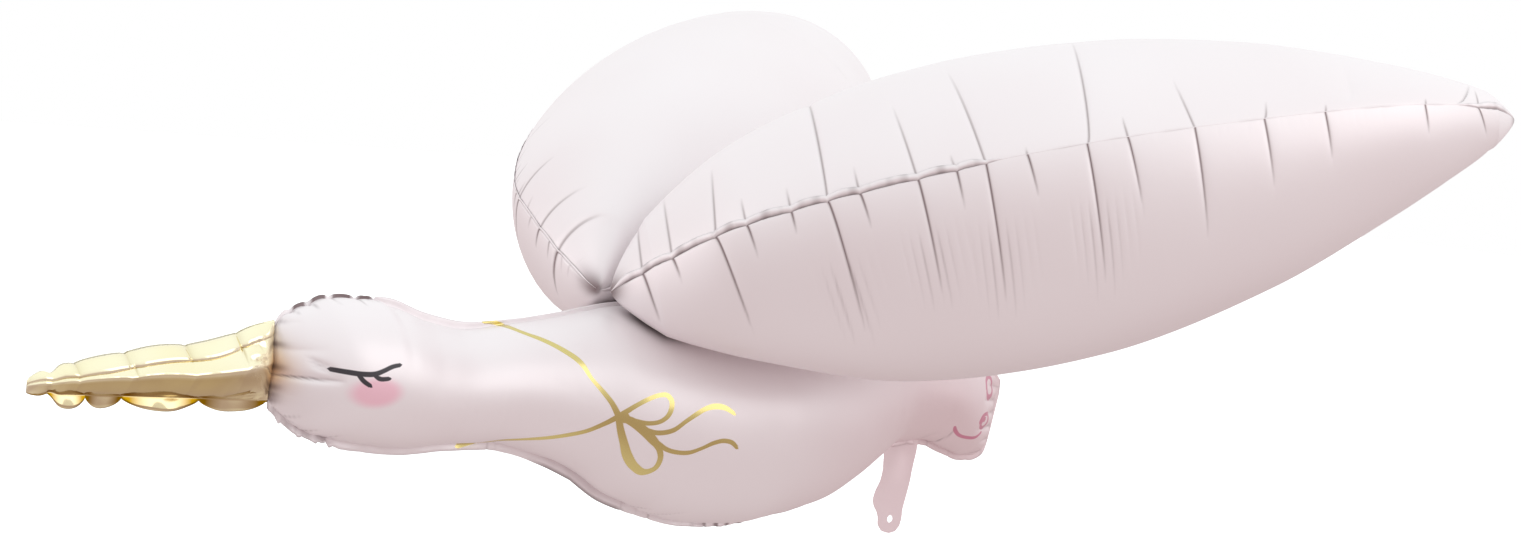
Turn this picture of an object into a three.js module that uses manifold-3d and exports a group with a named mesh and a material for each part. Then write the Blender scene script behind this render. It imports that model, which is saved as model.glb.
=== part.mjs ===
// Foil stork balloon: a flying stork of sealed, air-filled metallised foil.
// The body (head, neck, belly, tail and the filling tab) is one envelope of two foil sheets sealed
// along their outline. The gold beak and the two wings are sealed envelopes of their own.
// Millimetres, +Z up. The beak points to -X, the tail to +X, and the bird's left side is -Y.
// The origin is the centre of the ribbon hole in the filling tab, by which the balloon is tied.

import * as THREE from 'three';
import { mergeVertices } from 'three/addons/utils/BufferGeometryUtils.js';
import Module from 'manifold-3d';

const wasm = await Module();
wasm.setup();

// Foil and seams
const FOIL_EDGE = 1.2; // thickness of the two sheets sealed together
const SEAM_WIDTH = 8; // flat sealed strip outside the inflated part
const JOINT_GAP = 0.3; // clearance between pieces that touch

// Body
const BODY_LENGTH = 756; // from the beak joint to the end of the tail
const BODY_FULLNESS = 0.42; // half thickness as a share of the height
const BODY_SECTION = 1.1; // 1 is an ellipse, more is sharper at the seams
const BODY_PUFFS = 15; // puffs between the creases along the outline
const HEAD_PINCH = 62; // length over which the head swells behind the beak joint
const TAIL_PINCH = 72; // length over which the tail closes to its end seam

// Filling tab under the tail
const TAB_ROOT_WIDTH = 44;
const TAB_WIDTH = 38;
const TAB_LENGTH = 79; // from the belly's edge to the tab's lower end
const TAB_ROOT = 20; // part of the tab that lies inside the body
const TAB_DISTANCE = 637; // from the beak joint to the middle of the tab
const HOLE_RADIUS = 3.4;
const HOLE_EDGE = 13; // from the hole's centre to the tab's lower end

// Beak
const BEAK_LENGTH = 192;
const BEAK_ROOT_HEIGHT = 72;
const BEAK_TIP_HEIGHT = 28;
const BEAK_FULLNESS = 0.4;
const BEAK_SECTION = 1;
const BEAK_END = 0.55; // height of the blunt end as a share of the tip's height
const BEAK_PINCH = 58; // length over which the beak flattens to the joint
const BEAK_SWELL = 42; // length over which it swells behind its tip
const BEAK_DROP = 83; // from the wing roots down to the tip of the beak
const BEAK_PUFFS = 9;

// Wings
const WING_LENGTH = 759;
const WING_SWEEP = 55.1; // degrees back from straight out
const WING_RISE = 16.1; // degrees up from level
const WING_TWIST = 19.8; // degrees that the leading edge is turned up
const WING_DISTANCE = 300; // from the beak joint to the wing roots
const WING_ROOT_SPREAD = 8.2; // from the middle plane to each wing root
const WING_LEAD = 166; // most that the leading edge stands ahead of the spar line
const WING_TRAIL = 144; // most that the trailing edge stands behind it
const WING_DEPTH = 128; // greatest half thickness
const WING_SECTION = 1.3;
const WING_PUFFS = 14;
const WING_PUFF_START = 24; // half thickness from which the puffs have their full depth

// Gathered foil necks that hold the wing roots to both sides of the back seam
const NECK_LENGTH = 12; // along the back
const NECK_REACH = 9; // from the back seam's side out into the wing
const NECK_HEIGHT = 10;
const NECK_LAP = 6; // how far the foil laps down over the back seam

// Relief of the seams
const PUFF_DEPTH = 4; // how far a crease is drawn in at the seam
const BEAK_PUFF_DEPTH = 1.4;
const SLIMMEST_STRIP = 1 / 6; // of the height, where a piece is too low for the whole strip

// Fineness of the meshes
const STEPS_PER_PUFF = 4;
const SIDE_STEPS = 8;
const TAB_STEPS = 8; // along each arc of the tab
const MERGE_DISTANCE = 1e-4;

// Outlines as thousandths of the length they run along: [place, height].
// Heights of the body are measured from the level of the wing roots.
const BACK_OUTLINE = [[0, -41], [11, -29], [28, -22], [60, -12], [124, -14], [175, -29],
  [226, -37], [279, -33], [340, -24], [397, -13], [476, -6], [595, -6], [714, -16], [833, -34],
  [923, -52], [975, -68], [1000, -92]];
const BELLY_OUTLINE = [[0, -131], [16, -146], [44, -162], [91, -171], [159, -177], [210, -173],
  [260, -172], [294, -177], [330, -188], [369, -204], [412, -229], [461, -245], [531, -260],
  [595, -262], [645, -253], [700, -242], [746, -220], [784, -196], [819, -175], [873, -170],
  [913, -180], [952, -187], [982, -180], [1000, -158]];

// Shares of the wing's greatest lead, trail and depth at seven places along the wing.
const WING_PLACES = [0.04, 0.15, 0.3, 0.5, 0.7, 0.85, 0.96];
const LEAD_SHARES = [0.3, 0.765, 0.958, 1, 0.843, 0.627, 0.3];
const TRAIL_SHARES = [0.13, 0.4, 0.84, 1, 0.74, 0.48, 0.17];
const DEPTH_SHARES = [0.34, 0.695, 0.953, 1, 0.79, 0.508, 0.25];

const radians = THREE.MathUtils.degToRad;

// A smooth value between listed ones, by a cubic that never overshoots them.
function between(list, place) {
  const last = list.length - 1;
  if (place <= list[0][0]) return list[0][1];
  if (place >= list[last][0]) return list[last][1];
  const i = list.findIndex(([p]) => p > place) - 1;
  const slope = (k) => (list[k + 1][1] - list[k][1]) / (list[k + 1][0] - list[k][0]);
  const tangent = (k) => {
    if (k <= 0) return slope(0);
    if (k >= last) return slope(last - 1);
    const before = slope(k - 1);
    const after = slope(k);
    return before * after <= 0 ? 0 : (2 * before * after) / (before + after);
  };
  const width = list[i + 1][0] - list[i][0];
  const t = (place - list[i][0]) / width;
  const h00 = (1 + 2 * t) * (1 - t) ** 2;
  const h10 = t * (1 - t) ** 2;
  const h01 = t * t * (3 - 2 * t);
  const h11 = t * t * (t - 1);
  const values = h00 * list[i][1] + h01 * list[i + 1][1];
  return values + width * (h10 * tangent(i) + h11 * tangent(i + 1));
}

// 0 at a crease and 1 in the middle of a puff.
function puff(share, count) {
  return Math.abs(Math.sin(Math.PI * share * count));
}

// One closed ring round a section: out along one sheet, round the sealed strip, back along the other.
// upper and lower are the inflated part's edges, half its half thickness, drawn the depth of a crease.
function sectionRing({ along, upper, lower, half, drawn, power, strip }) {
  const edge = FOIL_EDGE / 2;
  const middle = (upper + lower) / 2;
  const reach = (upper - lower) / 2;
  const side = [];
  for (let k = 0; k <= SIDE_STEPS; k += 1) {
    const angle = (Math.PI * k) / SIDE_STEPS;
    const nearSeam = Math.cos(angle) ** 4;
    const across = middle + (reach - drawn * nearSeam) * Math.cos(angle);
    const thick = (half - drawn * nearSeam) * Math.sin(angle) ** power;
    side.push([across, Math.max(edge, thick)]);
  }
  const outer = [upper + strip - drawn, lower - strip + drawn];
  const front = [[outer[0], edge], ...side, [outer[1], edge]];
  const back = front.map(([across, thick]) => [across, -thick]).reverse();
  return [...front, ...back].map(([across, thick]) => [along, across, thick]);
}

// A closed mesh through a row of rings, with a flat cap of strips on each end.
function loft(rings, place) {
  const count = rings[0].length;
  const positions = rings.flat().flatMap((point) => place(point));
  const index = [];
  for (let i = 0; i < rings.length - 1; i += 1) {
    for (let k = 0; k < count; k += 1) {
      const next = (k + 1) % count;
      const a = i * count + k;
      const b = i * count + next;
      const c = (i + 1) * count + next;
      const d = (i + 1) * count + k;
      index.push(a, b, c, a, c, d);
    }
  }
  const lastRing = (rings.length - 1) * count;
  for (let k = 0; k < count / 2 - 1; k += 1) {
    const across = count - 1 - k;
    index.push(k, across, k + 1, k + 1, across, across - 1);
    index.push(lastRing + k, lastRing + k + 1, lastRing + across);
    index.push(lastRing + k + 1, lastRing + across - 1, lastRing + across);
  }
  const geometry = new THREE.BufferGeometry();
  geometry.setAttribute('position', new THREE.Float32BufferAttribute(positions, 3));
  geometry.setIndex(index);
  geometry.computeVertexNormals();
  return geometry;
}

// Places along a piece: evenly spaced, with closer steps near both closed ends.
function stations(count) {
  const list = [];
  for (let i = 0; i <= count; i += 1) {
    list.push(i / count);
  }
  const ends = [0.2 / count, 0.5 / count];
  return [0, ...ends, ...list.slice(1, -1), ...ends.map((e) => 1 - e).reverse(), 1];
}

// How far a foil envelope has swelled at a distance from its closed end: 0 at the end, 1 past reach.
function swell(distance, reach) {
  const t = Math.min(1, distance / reach);
  return Math.sqrt(1 - (1 - t) ** 2);
}

// Lengthways loft of body and beak: along X, across Z, thick along -Y.
const upright = ([along, across, thick]) => [along, -thick, across];

// Heights of the body's upper and lower edges at a place along it.
function backEdge(along) {
  return (between(BACK_OUTLINE, (along / BODY_LENGTH) * 1000) * BODY_LENGTH) / 1000;
}

function bellyEdge(along) {
  return (between(BELLY_OUTLINE, (along / BODY_LENGTH) * 1000) * BODY_LENGTH) / 1000;
}

function bodyGeometry() {
  const rings = stations(BODY_PUFFS * STEPS_PER_PUFF).map((share) => {
    const along = share * BODY_LENGTH;
    const top = backEdge(along);
    const bottom = bellyEdge(along);
    const height = top - bottom;
    const closing = swell(along, HEAD_PINCH) * swell(BODY_LENGTH - along, TAIL_PINCH);
    const strip = Math.min(SEAM_WIDTH, height * SLIMMEST_STRIP);
    return sectionRing({
      along,
      upper: top - strip,
      lower: bottom + strip,
      half: BODY_FULLNESS * height * closing,
      drawn: PUFF_DEPTH * closing * (1 - puff(share, BODY_PUFFS)),
      power: BODY_SECTION,
      strip,
    });
  });
  return loft(rings, upright);
}

function beakGeometry() {
  const rootMiddle = (backEdge(0) + bellyEdge(0)) / 2;
  const rings = stations(BEAK_PUFFS * STEPS_PER_PUFF / 2).map((share) => {
    const fromTip = share * (BEAK_LENGTH - JOINT_GAP);
    const height = BEAK_TIP_HEIGHT + (BEAK_ROOT_HEIGHT - BEAK_TIP_HEIGHT) * share;
    const rounded = height * (BEAK_END + (1 - BEAK_END) * swell(fromTip, BEAK_TIP_HEIGHT));
    const middle = -BEAK_DROP + (rootMiddle + BEAK_DROP) * share;
    const closing = swell(fromTip, BEAK_SWELL) * swell(BEAK_LENGTH - fromTip, BEAK_PINCH);
    const strip = Math.min(SEAM_WIDTH, height * SLIMMEST_STRIP);
    return sectionRing({
      along: fromTip - BEAK_LENGTH,
      upper: middle + rounded / 2 - strip,
      lower: middle - rounded / 2 + strip,
      half: BEAK_FULLNESS * rounded * closing,
      drawn: BEAK_PUFF_DEPTH * closing * (1 - puff(share, BEAK_PUFFS)),
      power: BEAK_SECTION,
      strip,
    });
  });
  return loft(rings, upright);
}

// The wing's greatest size times a smooth share, rounded off at both ends.
function wingReach(shares, greatest, share) {
  const round = (p) => 2 * Math.sqrt(Math.max(0, p * (1 - p)));
  const list = WING_PLACES.map((p, i) => [p, shares[i] / round(p)]);
  return greatest * between(list, share) * round(share);
}

// side is 1 for the right wing and -1 for the left one, which is its mirror image.
function wingGeometry(side) {
  const rings = stations(WING_PUFFS * STEPS_PER_PUFF).map((share) => {
    const ahead = wingReach(LEAD_SHARES, WING_LEAD, share);
    const behind = wingReach(TRAIL_SHARES, WING_TRAIL, share);
    const half = wingReach(DEPTH_SHARES, WING_DEPTH, share);
    const strip = Math.min(SEAM_WIDTH, (ahead + behind) * SLIMMEST_STRIP + FOIL_EDGE);
    const closing = Math.min(1, half / WING_PUFF_START);
    return sectionRing({
      along: share * WING_LENGTH,
      upper: ahead,
      lower: -behind,
      half,
      drawn: PUFF_DEPTH * closing * (1 - puff(share, WING_PUFFS)),
      power: WING_SECTION,
      strip,
    });
  });
  const geometry = loft(rings, ([along, across, thick]) => [along, side * across, side * thick]);
  const turn = [side * radians(WING_TWIST), -radians(WING_RISE), side * radians(90 - WING_SWEEP)];
  const rotation = new THREE.Matrix4().makeRotationFromEuler(new THREE.Euler(...turn, 'ZYX'));
  geometry.applyMatrix4(rotation);
  geometry.translate(WING_DISTANCE, side * WING_ROOT_SPREAD, 0);
  return geometry;
}

// A gathered neck: a leaf down beside the back seam, and a thick part that runs out into the wing's root.
function neckGeometry(side) {
  const near = FOIL_EDGE / 2 + JOINT_GAP;
  const far = near + NECK_REACH;
  const leafEnd = backEdge(WING_DISTANCE) - NECK_LAP;
  const shape = new THREE.Shape();
  shape.moveTo(near, leafEnd);
  shape.lineTo(near + FOIL_EDGE, leafEnd);
  shape.lineTo(near + FOIL_EDGE, -NECK_HEIGHT / 2);
  shape.lineTo(far, -NECK_HEIGHT / 4);
  shape.lineTo(far, NECK_HEIGHT / 4);
  shape.lineTo(near, NECK_HEIGHT / 2);
  shape.closePath();
  const geometry = new THREE.ExtrudeGeometry(shape, { depth: NECK_LENGTH, bevelEnabled: false });
  geometry.rotateX(Math.PI / 2);
  geometry.rotateZ(Math.PI / 2);
  geometry.translate(-NECK_LENGTH / 2, 0, 0);
  if (side < 0) geometry.rotateZ(Math.PI);
  geometry.translate(WING_DISTANCE + NECK_LENGTH / 3, 0, 0);
  return geometry;
}

// The flat tab with its ribbon hole, in the middle plane of the body.
function tabGeometry(hole) {
  const low = hole.y - HOLE_EDGE;
  const high = low + TAB_LENGTH + TAB_ROOT;
  const half = TAB_WIDTH / 2;
  const shape = new THREE.Shape();
  shape.moveTo(hole.x - TAB_ROOT_WIDTH / 2, high);
  shape.lineTo(hole.x - half, low + TAB_WIDTH);
  shape.lineTo(hole.x - half, low + half);
  shape.absarc(hole.x, low + half, half, Math.PI, 2 * Math.PI, false);
  shape.lineTo(hole.x + half, low + TAB_WIDTH);
  shape.lineTo(hole.x + TAB_ROOT_WIDTH / 2, high);
  shape.closePath();
  const ring = new THREE.Path();
  ring.absarc(hole.x, hole.y, HOLE_RADIUS, 0, Math.PI * 2, true);
  shape.holes.push(ring);
  const settings = { depth: FOIL_EDGE, bevelEnabled: false, curveSegments: TAB_STEPS };
  const geometry = new THREE.ExtrudeGeometry(shape, settings);
  geometry.rotateX(Math.PI / 2);
  geometry.translate(0, FOIL_EDGE / 2, 0);
  return geometry;
}

function solid(geometry) {
  const bare = geometry.clone();
  bare.deleteAttribute('normal');
  bare.deleteAttribute('uv');
  const merged = mergeVertices(bare, MERGE_DISTANCE);
  const mesh = new wasm.Mesh({
    numProp: 3,
    vertProperties: new Float32Array(merged.attributes.position.array),
    triVerts: new Uint32Array(merged.index.array),
  });
  return new wasm.Manifold(mesh);
}

function geometryOf(manifold) {
  const mesh = manifold.getMesh();
  const geometry = new THREE.BufferGeometry();
  geometry.setAttribute('position', new THREE.Float32BufferAttribute(mesh.vertProperties, 3));
  geometry.setIndex(Array.from(mesh.triVerts));
  geometry.computeVertexNormals();
  return geometry;
}

function pearlFoil() {
  return new THREE.MeshStandardMaterial({ color: '#eadfe3', roughness: 0.35, metalness: 0.3 });
}

function goldFoil() {
  return new THREE.MeshStandardMaterial({ color: '#d8c083', roughness: 0.2, metalness: 1 });
}

function named(name, geometry, material) {
  const mesh = new THREE.Mesh(geometry, material);
  mesh.name = name;
  return mesh;
}

function buildBalloon() {
  const hole = new THREE.Vector2(TAB_DISTANCE, bellyEdge(TAB_DISTANCE) - TAB_LENGTH + HOLE_EDGE);
  const balloon = new THREE.Group();
  const bird = new THREE.Group();
  bird.position.set(-hole.x, 0, -hole.y);
  balloon.add(bird);

  const body = solid(bodyGeometry()).add(solid(tabGeometry(hole)));
  bird.add(named('body', geometryOf(body), pearlFoil()));
  bird.add(named('beak', beakGeometry(), goldFoil()));
  for (const [name, side] of [['wing_left', -1], ['wing_right', 1]]) {
    const wing = solid(wingGeometry(side)).add(solid(neckGeometry(side)));
    bird.add(named(name, geometryOf(wing), pearlFoil()));
  }
  return balloon;
}

export default buildBalloon();
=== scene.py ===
# %% [markdown]
# # A flying stork balloon of sealed foil
# The balloon is made of envelopes: two thin sheets of metallised film, welded together along their
# outline and blown up with air. The frame holds their sizes and places as plain solids. This lesson
# gives each envelope its true skin, with the creases that run in from the welded edges, the flat
# welded strip itself, and the foil's colours and prints.

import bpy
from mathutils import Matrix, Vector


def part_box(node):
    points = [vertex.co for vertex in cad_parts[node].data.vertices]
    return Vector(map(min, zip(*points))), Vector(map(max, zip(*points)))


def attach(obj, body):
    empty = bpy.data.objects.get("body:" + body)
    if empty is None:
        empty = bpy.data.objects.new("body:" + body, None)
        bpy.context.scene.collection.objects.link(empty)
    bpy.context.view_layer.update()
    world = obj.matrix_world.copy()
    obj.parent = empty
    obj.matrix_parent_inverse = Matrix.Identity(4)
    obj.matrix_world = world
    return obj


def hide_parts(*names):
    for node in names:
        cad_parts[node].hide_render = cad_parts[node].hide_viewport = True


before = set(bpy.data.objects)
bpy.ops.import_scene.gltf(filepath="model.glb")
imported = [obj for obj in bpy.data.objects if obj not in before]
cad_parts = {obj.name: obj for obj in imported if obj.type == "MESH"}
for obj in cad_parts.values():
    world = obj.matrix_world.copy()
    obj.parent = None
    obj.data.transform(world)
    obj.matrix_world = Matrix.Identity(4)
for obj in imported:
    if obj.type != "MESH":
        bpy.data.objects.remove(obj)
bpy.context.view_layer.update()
print("solids in the frame:", sorted(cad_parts))

# %% [markdown]
# ## Tools for the whole lesson
# All lengths below are in metres, so a small constant turns millimetres, in which foil is cut, into
# metres.

# %% Imports and units
import math

import bpy
import numpy as np
from mathutils import Matrix, Vector
from mathutils.bvhtree import BVHTree

MM = 0.001
FOIL_EDGE = 0.4 * MM  # half the thickness of the welded strip, drawn thicker than the real 0.1 mm
MERGE_DISTANCE = 0.02 * MM  # vertices closer than this are one

# %% [markdown]
# ## The camera
# The picture was taken with a long lens from ahead of the bird's left wing, a little above the tab and
# slightly tilted. The camera comes first, so that every later piece can be judged through it.

# %% Camera
PHOTO_WIDTH = 1521  # pixels
FOCAL_PIXELS = 2774.3
SENSOR = 36  # millimetres, along the wide side
CAMERA_PLACE = Vector((-1.6592, -1.8275, 0.3760))
CAMERA_HEADING = math.radians(39.06)  # turned from +Y towards +X
CAMERA_DIP = math.radians(3.83)
CAMERA_ROLL = math.radians(5.56)

camera_data = bpy.data.cameras.new("camera")
camera_data.sensor_width = SENSOR
camera_data.lens = SENSOR * FOCAL_PIXELS / PHOTO_WIDTH
camera = bpy.data.objects.new("camera", camera_data)
bpy.context.collection.objects.link(camera)
look = Vector((
    math.sin(CAMERA_HEADING) * math.cos(CAMERA_DIP),
    math.cos(CAMERA_HEADING) * math.cos(CAMERA_DIP),
    -math.sin(CAMERA_DIP),
))
level_right = Vector((math.cos(CAMERA_HEADING), -math.sin(CAMERA_HEADING), 0))
level_up = level_right.cross(look)
right = level_right * math.cos(CAMERA_ROLL) + level_up * math.sin(CAMERA_ROLL)
up = -level_right * math.sin(CAMERA_ROLL) + level_up * math.cos(CAMERA_ROLL)
camera.matrix_world = Matrix.Translation(CAMERA_PLACE) @ Matrix((right, up, -look)).transposed().to_4x4()
bpy.context.scene.camera = camera
print("lens", round(camera_data.lens, 2), "mm")

# %% [markdown]
# ## Curves for outlines
# A foil outline is a smooth curve through a few listed places. A cubic between them that never
# overshoots keeps the cut line free of bumps, and a light smoothing of its samples removes the last
# corners, which a mirror-like film would show as kinks.

# %% Smooth values between listed ones
def between(places, values, wanted):
    """A smooth cubic through the listed values that never overshoots them."""
    places = np.asarray(places, float)
    values = np.asarray(values, float)
    slope = np.diff(values) / np.diff(places)
    tangent = np.empty_like(values)
    tangent[0], tangent[-1] = slope[0], slope[-1]
    total = slope[:-1] + slope[1:]
    same_way = slope[:-1] * slope[1:] > 0
    tangent[1:-1] = np.where(same_way, 2 * slope[:-1] * slope[1:] / np.where(same_way, total, 1), 0)
    wanted = np.clip(wanted, places[0], places[-1])
    i = np.clip(np.searchsorted(places, wanted, side="right") - 1, 0, len(slope) - 1)
    width = places[i + 1] - places[i]
    t = (wanted - places[i]) / width
    ends = (1 + 2 * t) * (1 - t) ** 2 * values[i] + t * t * (3 - 2 * t) * values[i + 1]
    bends = t * (1 - t) ** 2 * tangent[i] + t * t * (t - 1) * tangent[i + 1]
    return ends + width * bends


def smoothed(curve, steps):
    """A row of samples averaged with its neighbours a number of times, its two ends kept."""
    curve = np.array(curve, float)
    for _ in range(steps):
        curve[1:-1] = (curve[:-2] + 2 * curve[1:-1] + curve[2:]) / 4
    return curve


def swell(distance, reach):
    """How far an envelope has swelled at a distance from its closed end, from 0 to 1."""
    return np.sqrt(1 - (1 - np.clip(distance / reach, 0, 1)) ** 2)


# %% [markdown]
# ## Creases
# Where a flat sheet is blown up, its edge is too long for the new shape. The extra length gathers in
# creases that start at the weld, run inwards at right angles to it and fade out, with a smooth puff
# between each two. A crease here is a place on the weld, the distances from the weld at which it
# starts and ends, how far its inner end leans along the weld, its depth and its half width. The valley
# has a sharp bottom, as folded film has, so its section is an exponential and not a wave.

# %% Creases and crimps
CREASE_POINT = 0.3 * MM  # roundness at the bottom of a crease
DARK_LINE = 0.85 * MM  # half width of the painted dark line of shade down the middle of a tight fold
STEEP = 0.7  # depth for each half width, from which a fold gets such a painted line
INNER_START = 0.3  # share of its length over which a crease that starts off the weld fades in
WIDTH_AT_WELD, WIDENING = 0.8, 0.5  # a crease widens towards its inner end


def valleys(along, inward, creases):
    """Depth of a list of creases at places along a weld and distances inward from it, and their painted
    shade.
    """
    shape = np.broadcast(along, inward).shape
    depth, dark = np.zeros(shape), np.zeros(shape)
    for place, start, end, lean, deep, width in creases:
        share = np.clip((inward - start) / (end - start), 0, 1)
        off = along - place - lean * share
        sharp = np.sqrt(off**2 + CREASE_POINT**2) - CREASE_POINT
        fade = 1 - share**3
        if start > 0:
            fade = fade * np.clip((inward - start) / (INNER_START * (end - start)), 0, 1)
        depth += deep * np.exp(-sharp / (width * (WIDTH_AT_WELD + WIDENING * share))) * fade
        # A tight fold gets a painted dark line of shade down its middle.
        line = np.exp(-(off / DARK_LINE) ** 2)
        dark += np.clip(deep / width - STEEP, 0, 1) * line * fade
    return depth, np.clip(dark, 0, 1)


def crimps(length, spacing, deep, seed, reach=14 * MM):
    """Small seeded creases all along a weld, between the large ones."""
    dice = np.random.default_rng(seed)
    rows = []
    for k in range(int(length / spacing)):
        place = (k + 0.5 + dice.uniform(-0.4, 0.4)) * spacing
        size = dice.uniform(0.2, 1) ** 2
        end = reach * (0.6 + size)
        lean = dice.uniform(-3, 3) * MM
        width = dice.uniform(1.0, 2.2) * MM
        rows.append((place, 0, end, lean, deep * size, width))
    return rows


def in_mm(rows):
    """Creases written in millimetres, turned to metres."""
    return [tuple(value * MM for value in row) for row in rows]


STIFFNESS = 0.9
ALMOST_NOTHING = 1e-6  # keeps a division from zero


def pressed(thick, valley):
    """A sheet's distance from the middle plane after its creases, which can't cross that plane."""
    room = 1 - np.exp(-STIFFNESS * thick / (valley + ALMOST_NOTHING))
    return thick - valley * room


def arches(along, places):
    """0 at each listed place along a weld and 1 half way between two."""
    places = np.asarray(places)
    i = np.clip(np.searchsorted(places, along) - 1, 0, len(places) - 2)
    share = np.clip((along - places[i]) / (places[i + 1] - places[i]), 0, 1)
    return np.sqrt(np.clip(4 * share * (1 - share), 0, 1))


RIDGE_LAYERS = 7


def ridges(first, second, longest, seed):
    """Faint random ridges in two directions, as on film that has been folded up before, from 0 to 1."""
    dice = np.random.default_rng(seed)
    total = 0
    for _ in range(RIDGE_LAYERS):
        angle, phase = dice.uniform(0, np.pi), dice.uniform(0, 2 * np.pi)
        turn = 2 * np.pi / (longest * dice.uniform(0.4, 1))
        ahead = first * math.cos(angle) + second * math.sin(angle)
        total = total + np.abs(np.sin(turn * ahead / 2 + phase))
    return total / RIDGE_LAYERS


WELD_GATHER = 0.86  # how closely the rows gather at the welds, from 0 to 1


def from_weld_to_weld(steps, gather=WELD_GATHER):
    """Angles over a sheet from one weld to the other, closer together near both welds."""
    share = np.linspace(0, 1, steps + 1)
    return np.pi * (share - gather * np.sin(2 * np.pi * share) / (2 * np.pi))[None, :]


# %% [markdown]
# ## A sheet of foil as a grid
# Every envelope starts as the flat sheet that it is cut from: a primitive grid, one column of vertices
# for each place along the piece and one row for each step round it. The grid is wrapped into its blown
# shape by a formula, because hundreds of small folds can't be pulled by hand, and then closed: its two
# long edges are merged, and its ends are filled.

# %% Wrap a grid into a closed envelope
def flat_foil(name, columns, rows):
    """A new flat grid, and each vertex's column and row."""
    bpy.ops.object.select_all(action="DESELECT")
    bpy.ops.mesh.primitive_grid_add(x_subdivisions=columns, y_subdivisions=rows, size=2)
    piece = bpy.context.object
    piece.name = name
    places = np.empty(len(piece.data.vertices) * 3)
    piece.data.vertices.foreach_get("co", places)
    places = places.reshape(-1, 3)
    column = np.round((places[:, 0] + 1) / 2 * columns).astype(int)
    row = np.round((places[:, 1] + 1) / 2 * rows).astype(int)
    return piece, column, row


def store(piece, name, values):
    """Keeps one number for each vertex, for the materials to read."""
    attribute = piece.data.attributes.new(name, "FLOAT", "POINT")
    attribute.data.foreach_set("value", values.astype(np.float32))


def wrapped(name, rings, painted_shades):
    """A closed envelope from rings of points, shaped as [place along, step round, xyz], with their painted
    shade.
    """
    columns, rows = rings.shape[0] - 1, rings.shape[1]
    piece, column, row = flat_foil(name, columns, rows)
    places = rings[column, row % rows]
    piece.data.vertices.foreach_set("co", places.ravel())
    store(piece, "painted_shade", painted_shades[column, row % rows])
    bpy.ops.object.mode_set(mode="EDIT")
    bpy.ops.mesh.select_all(action="SELECT")
    bpy.ops.mesh.remove_doubles(threshold=MERGE_DISTANCE)
    bpy.ops.mesh.select_all(action="DESELECT")
    bpy.ops.mesh.select_non_manifold(extend=False)
    bpy.ops.mesh.fill_holes(sides=0)
    bpy.ops.mesh.select_all(action="SELECT")
    bpy.ops.mesh.normals_make_consistent(inside=False)
    bpy.ops.object.mode_set(mode="OBJECT")
    bpy.ops.object.shade_smooth()
    print(name, len(piece.data.polygons), "faces")
    return piece


# %% [markdown]
# ## Where the bird is
# The frame's origin is the ribbon hole in the tab. The bird's own measures run from the joint between
# beak and head, at the level of the wing roots, so one offset places them in the frame. It is read
# from the body's solid, whose front end is the joint.

# %% The bird's own origin
WING_DISTANCE = 300 * MM  # from the beak joint to the wing roots
LEVEL_ABOVE_BACK = 6 / 1000  # the back's highest place below the wing roots, as a share of its length
body_low, body_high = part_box("body")
BODY_LENGTH = 756 * MM
JOINT_X = body_low[0]
LEVEL_Z = body_high[2] + BODY_LENGTH * LEVEL_ABOVE_BACK
BIRD = np.array([JOINT_X, 0, LEVEL_Z])
print("beak joint at x", round(JOINT_X, 4), "wing roots' level z", round(LEVEL_Z, 4))

# %% [markdown]
# ## The wings
# Each wing is a pillow of its own, widest at its middle, swept back, raised and turned so that its
# leading weld shows. Its section is lens-shaped. The measures at seven places give its lead, its trail
# and its depth, each rounded off at root and tip.

# %% Wing measures
WING_LENGTH = 759 * MM
WING_SWEEP, WING_RISE, WING_TWIST = np.radians([55.1, 16.1, 19.8])
WING_ROOT_SPREAD = 8.2 * MM
WING_LEAD, WING_TRAIL, WING_DEPTH = 166 * MM, 144 * MM, 128 * MM
WING_SECTION = 1.3  # above 1 the section is a lens and not an ellipse
LAST_SHARE = 0.0008  # the ends of a wing are cut this share short of a point
TIP_ROUND, ROOT_ROUND = 0.3, 0.25
WING_PLACES = np.array([0.04, 0.15, 0.3, 0.5, 0.7, 0.85, 0.96])
LEAD_SHARES = np.array([0.3, 0.765, 0.958, 1, 0.843, 0.627, 0.3])
TRAIL_SHARES = np.array([0.13, 0.4, 0.84, 1, 0.74, 0.45, 0.12])
DEPTH_SHARES = np.array([0.34, 0.695, 0.953, 1, 0.79, 0.48, 0.2])
WING_COLUMNS = 960
WING_STEPS = 44  # from one weld to the other over a sheet
TIP_POINT, ROOT_POINT = 0.035, 0.05  # shares of the length over which the ends are drawn to a point
END_GATHER = 0.055  # columns stand a little closer at root and tip


def wing_reach(shares, greatest, place):
    """A wing's lead, trail or depth at a place along it."""
    def rounding(p):
        return 2 * np.sqrt(np.clip(p * (1 - p), 0, None))
    return greatest * between(WING_PLACES, shares / rounding(WING_PLACES), place) * rounding(place)


def wing_size(place):
    """Lead, trail and depth at a place from 0 at the root to 1 at the tip."""
    place = np.clip(place, LAST_SHARE, 1 - LAST_SHARE)
    point = np.clip((1 - place) / TIP_POINT, 0, 1) ** TIP_ROUND
    point = point * np.clip(place / ROOT_POINT, 0, 1) ** ROOT_ROUND
    measures = (LEAD_SHARES, WING_LEAD), (TRAIL_SHARES, WING_TRAIL), (DEPTH_SHARES, WING_DEPTH)
    return [wing_reach(shares, greatest, place) * point for shares, greatest in measures]


def turned_into_place(points, side):
    """Points of a wing in its own axes, turned and moved to its root on the bird."""
    heading = math.pi / 2 - WING_SWEEP
    turn = Matrix.Rotation(heading, 3, "Z") @ Matrix.Rotation(-WING_RISE, 3, "Y")
    turn = np.array(turn @ Matrix.Rotation(WING_TWIST, 3, "X"))
    placed = points @ turn.T + np.array([WING_DISTANCE, WING_ROOT_SPREAD, 0])
    return placed * np.array([1, side, 1]) + BIRD


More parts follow.
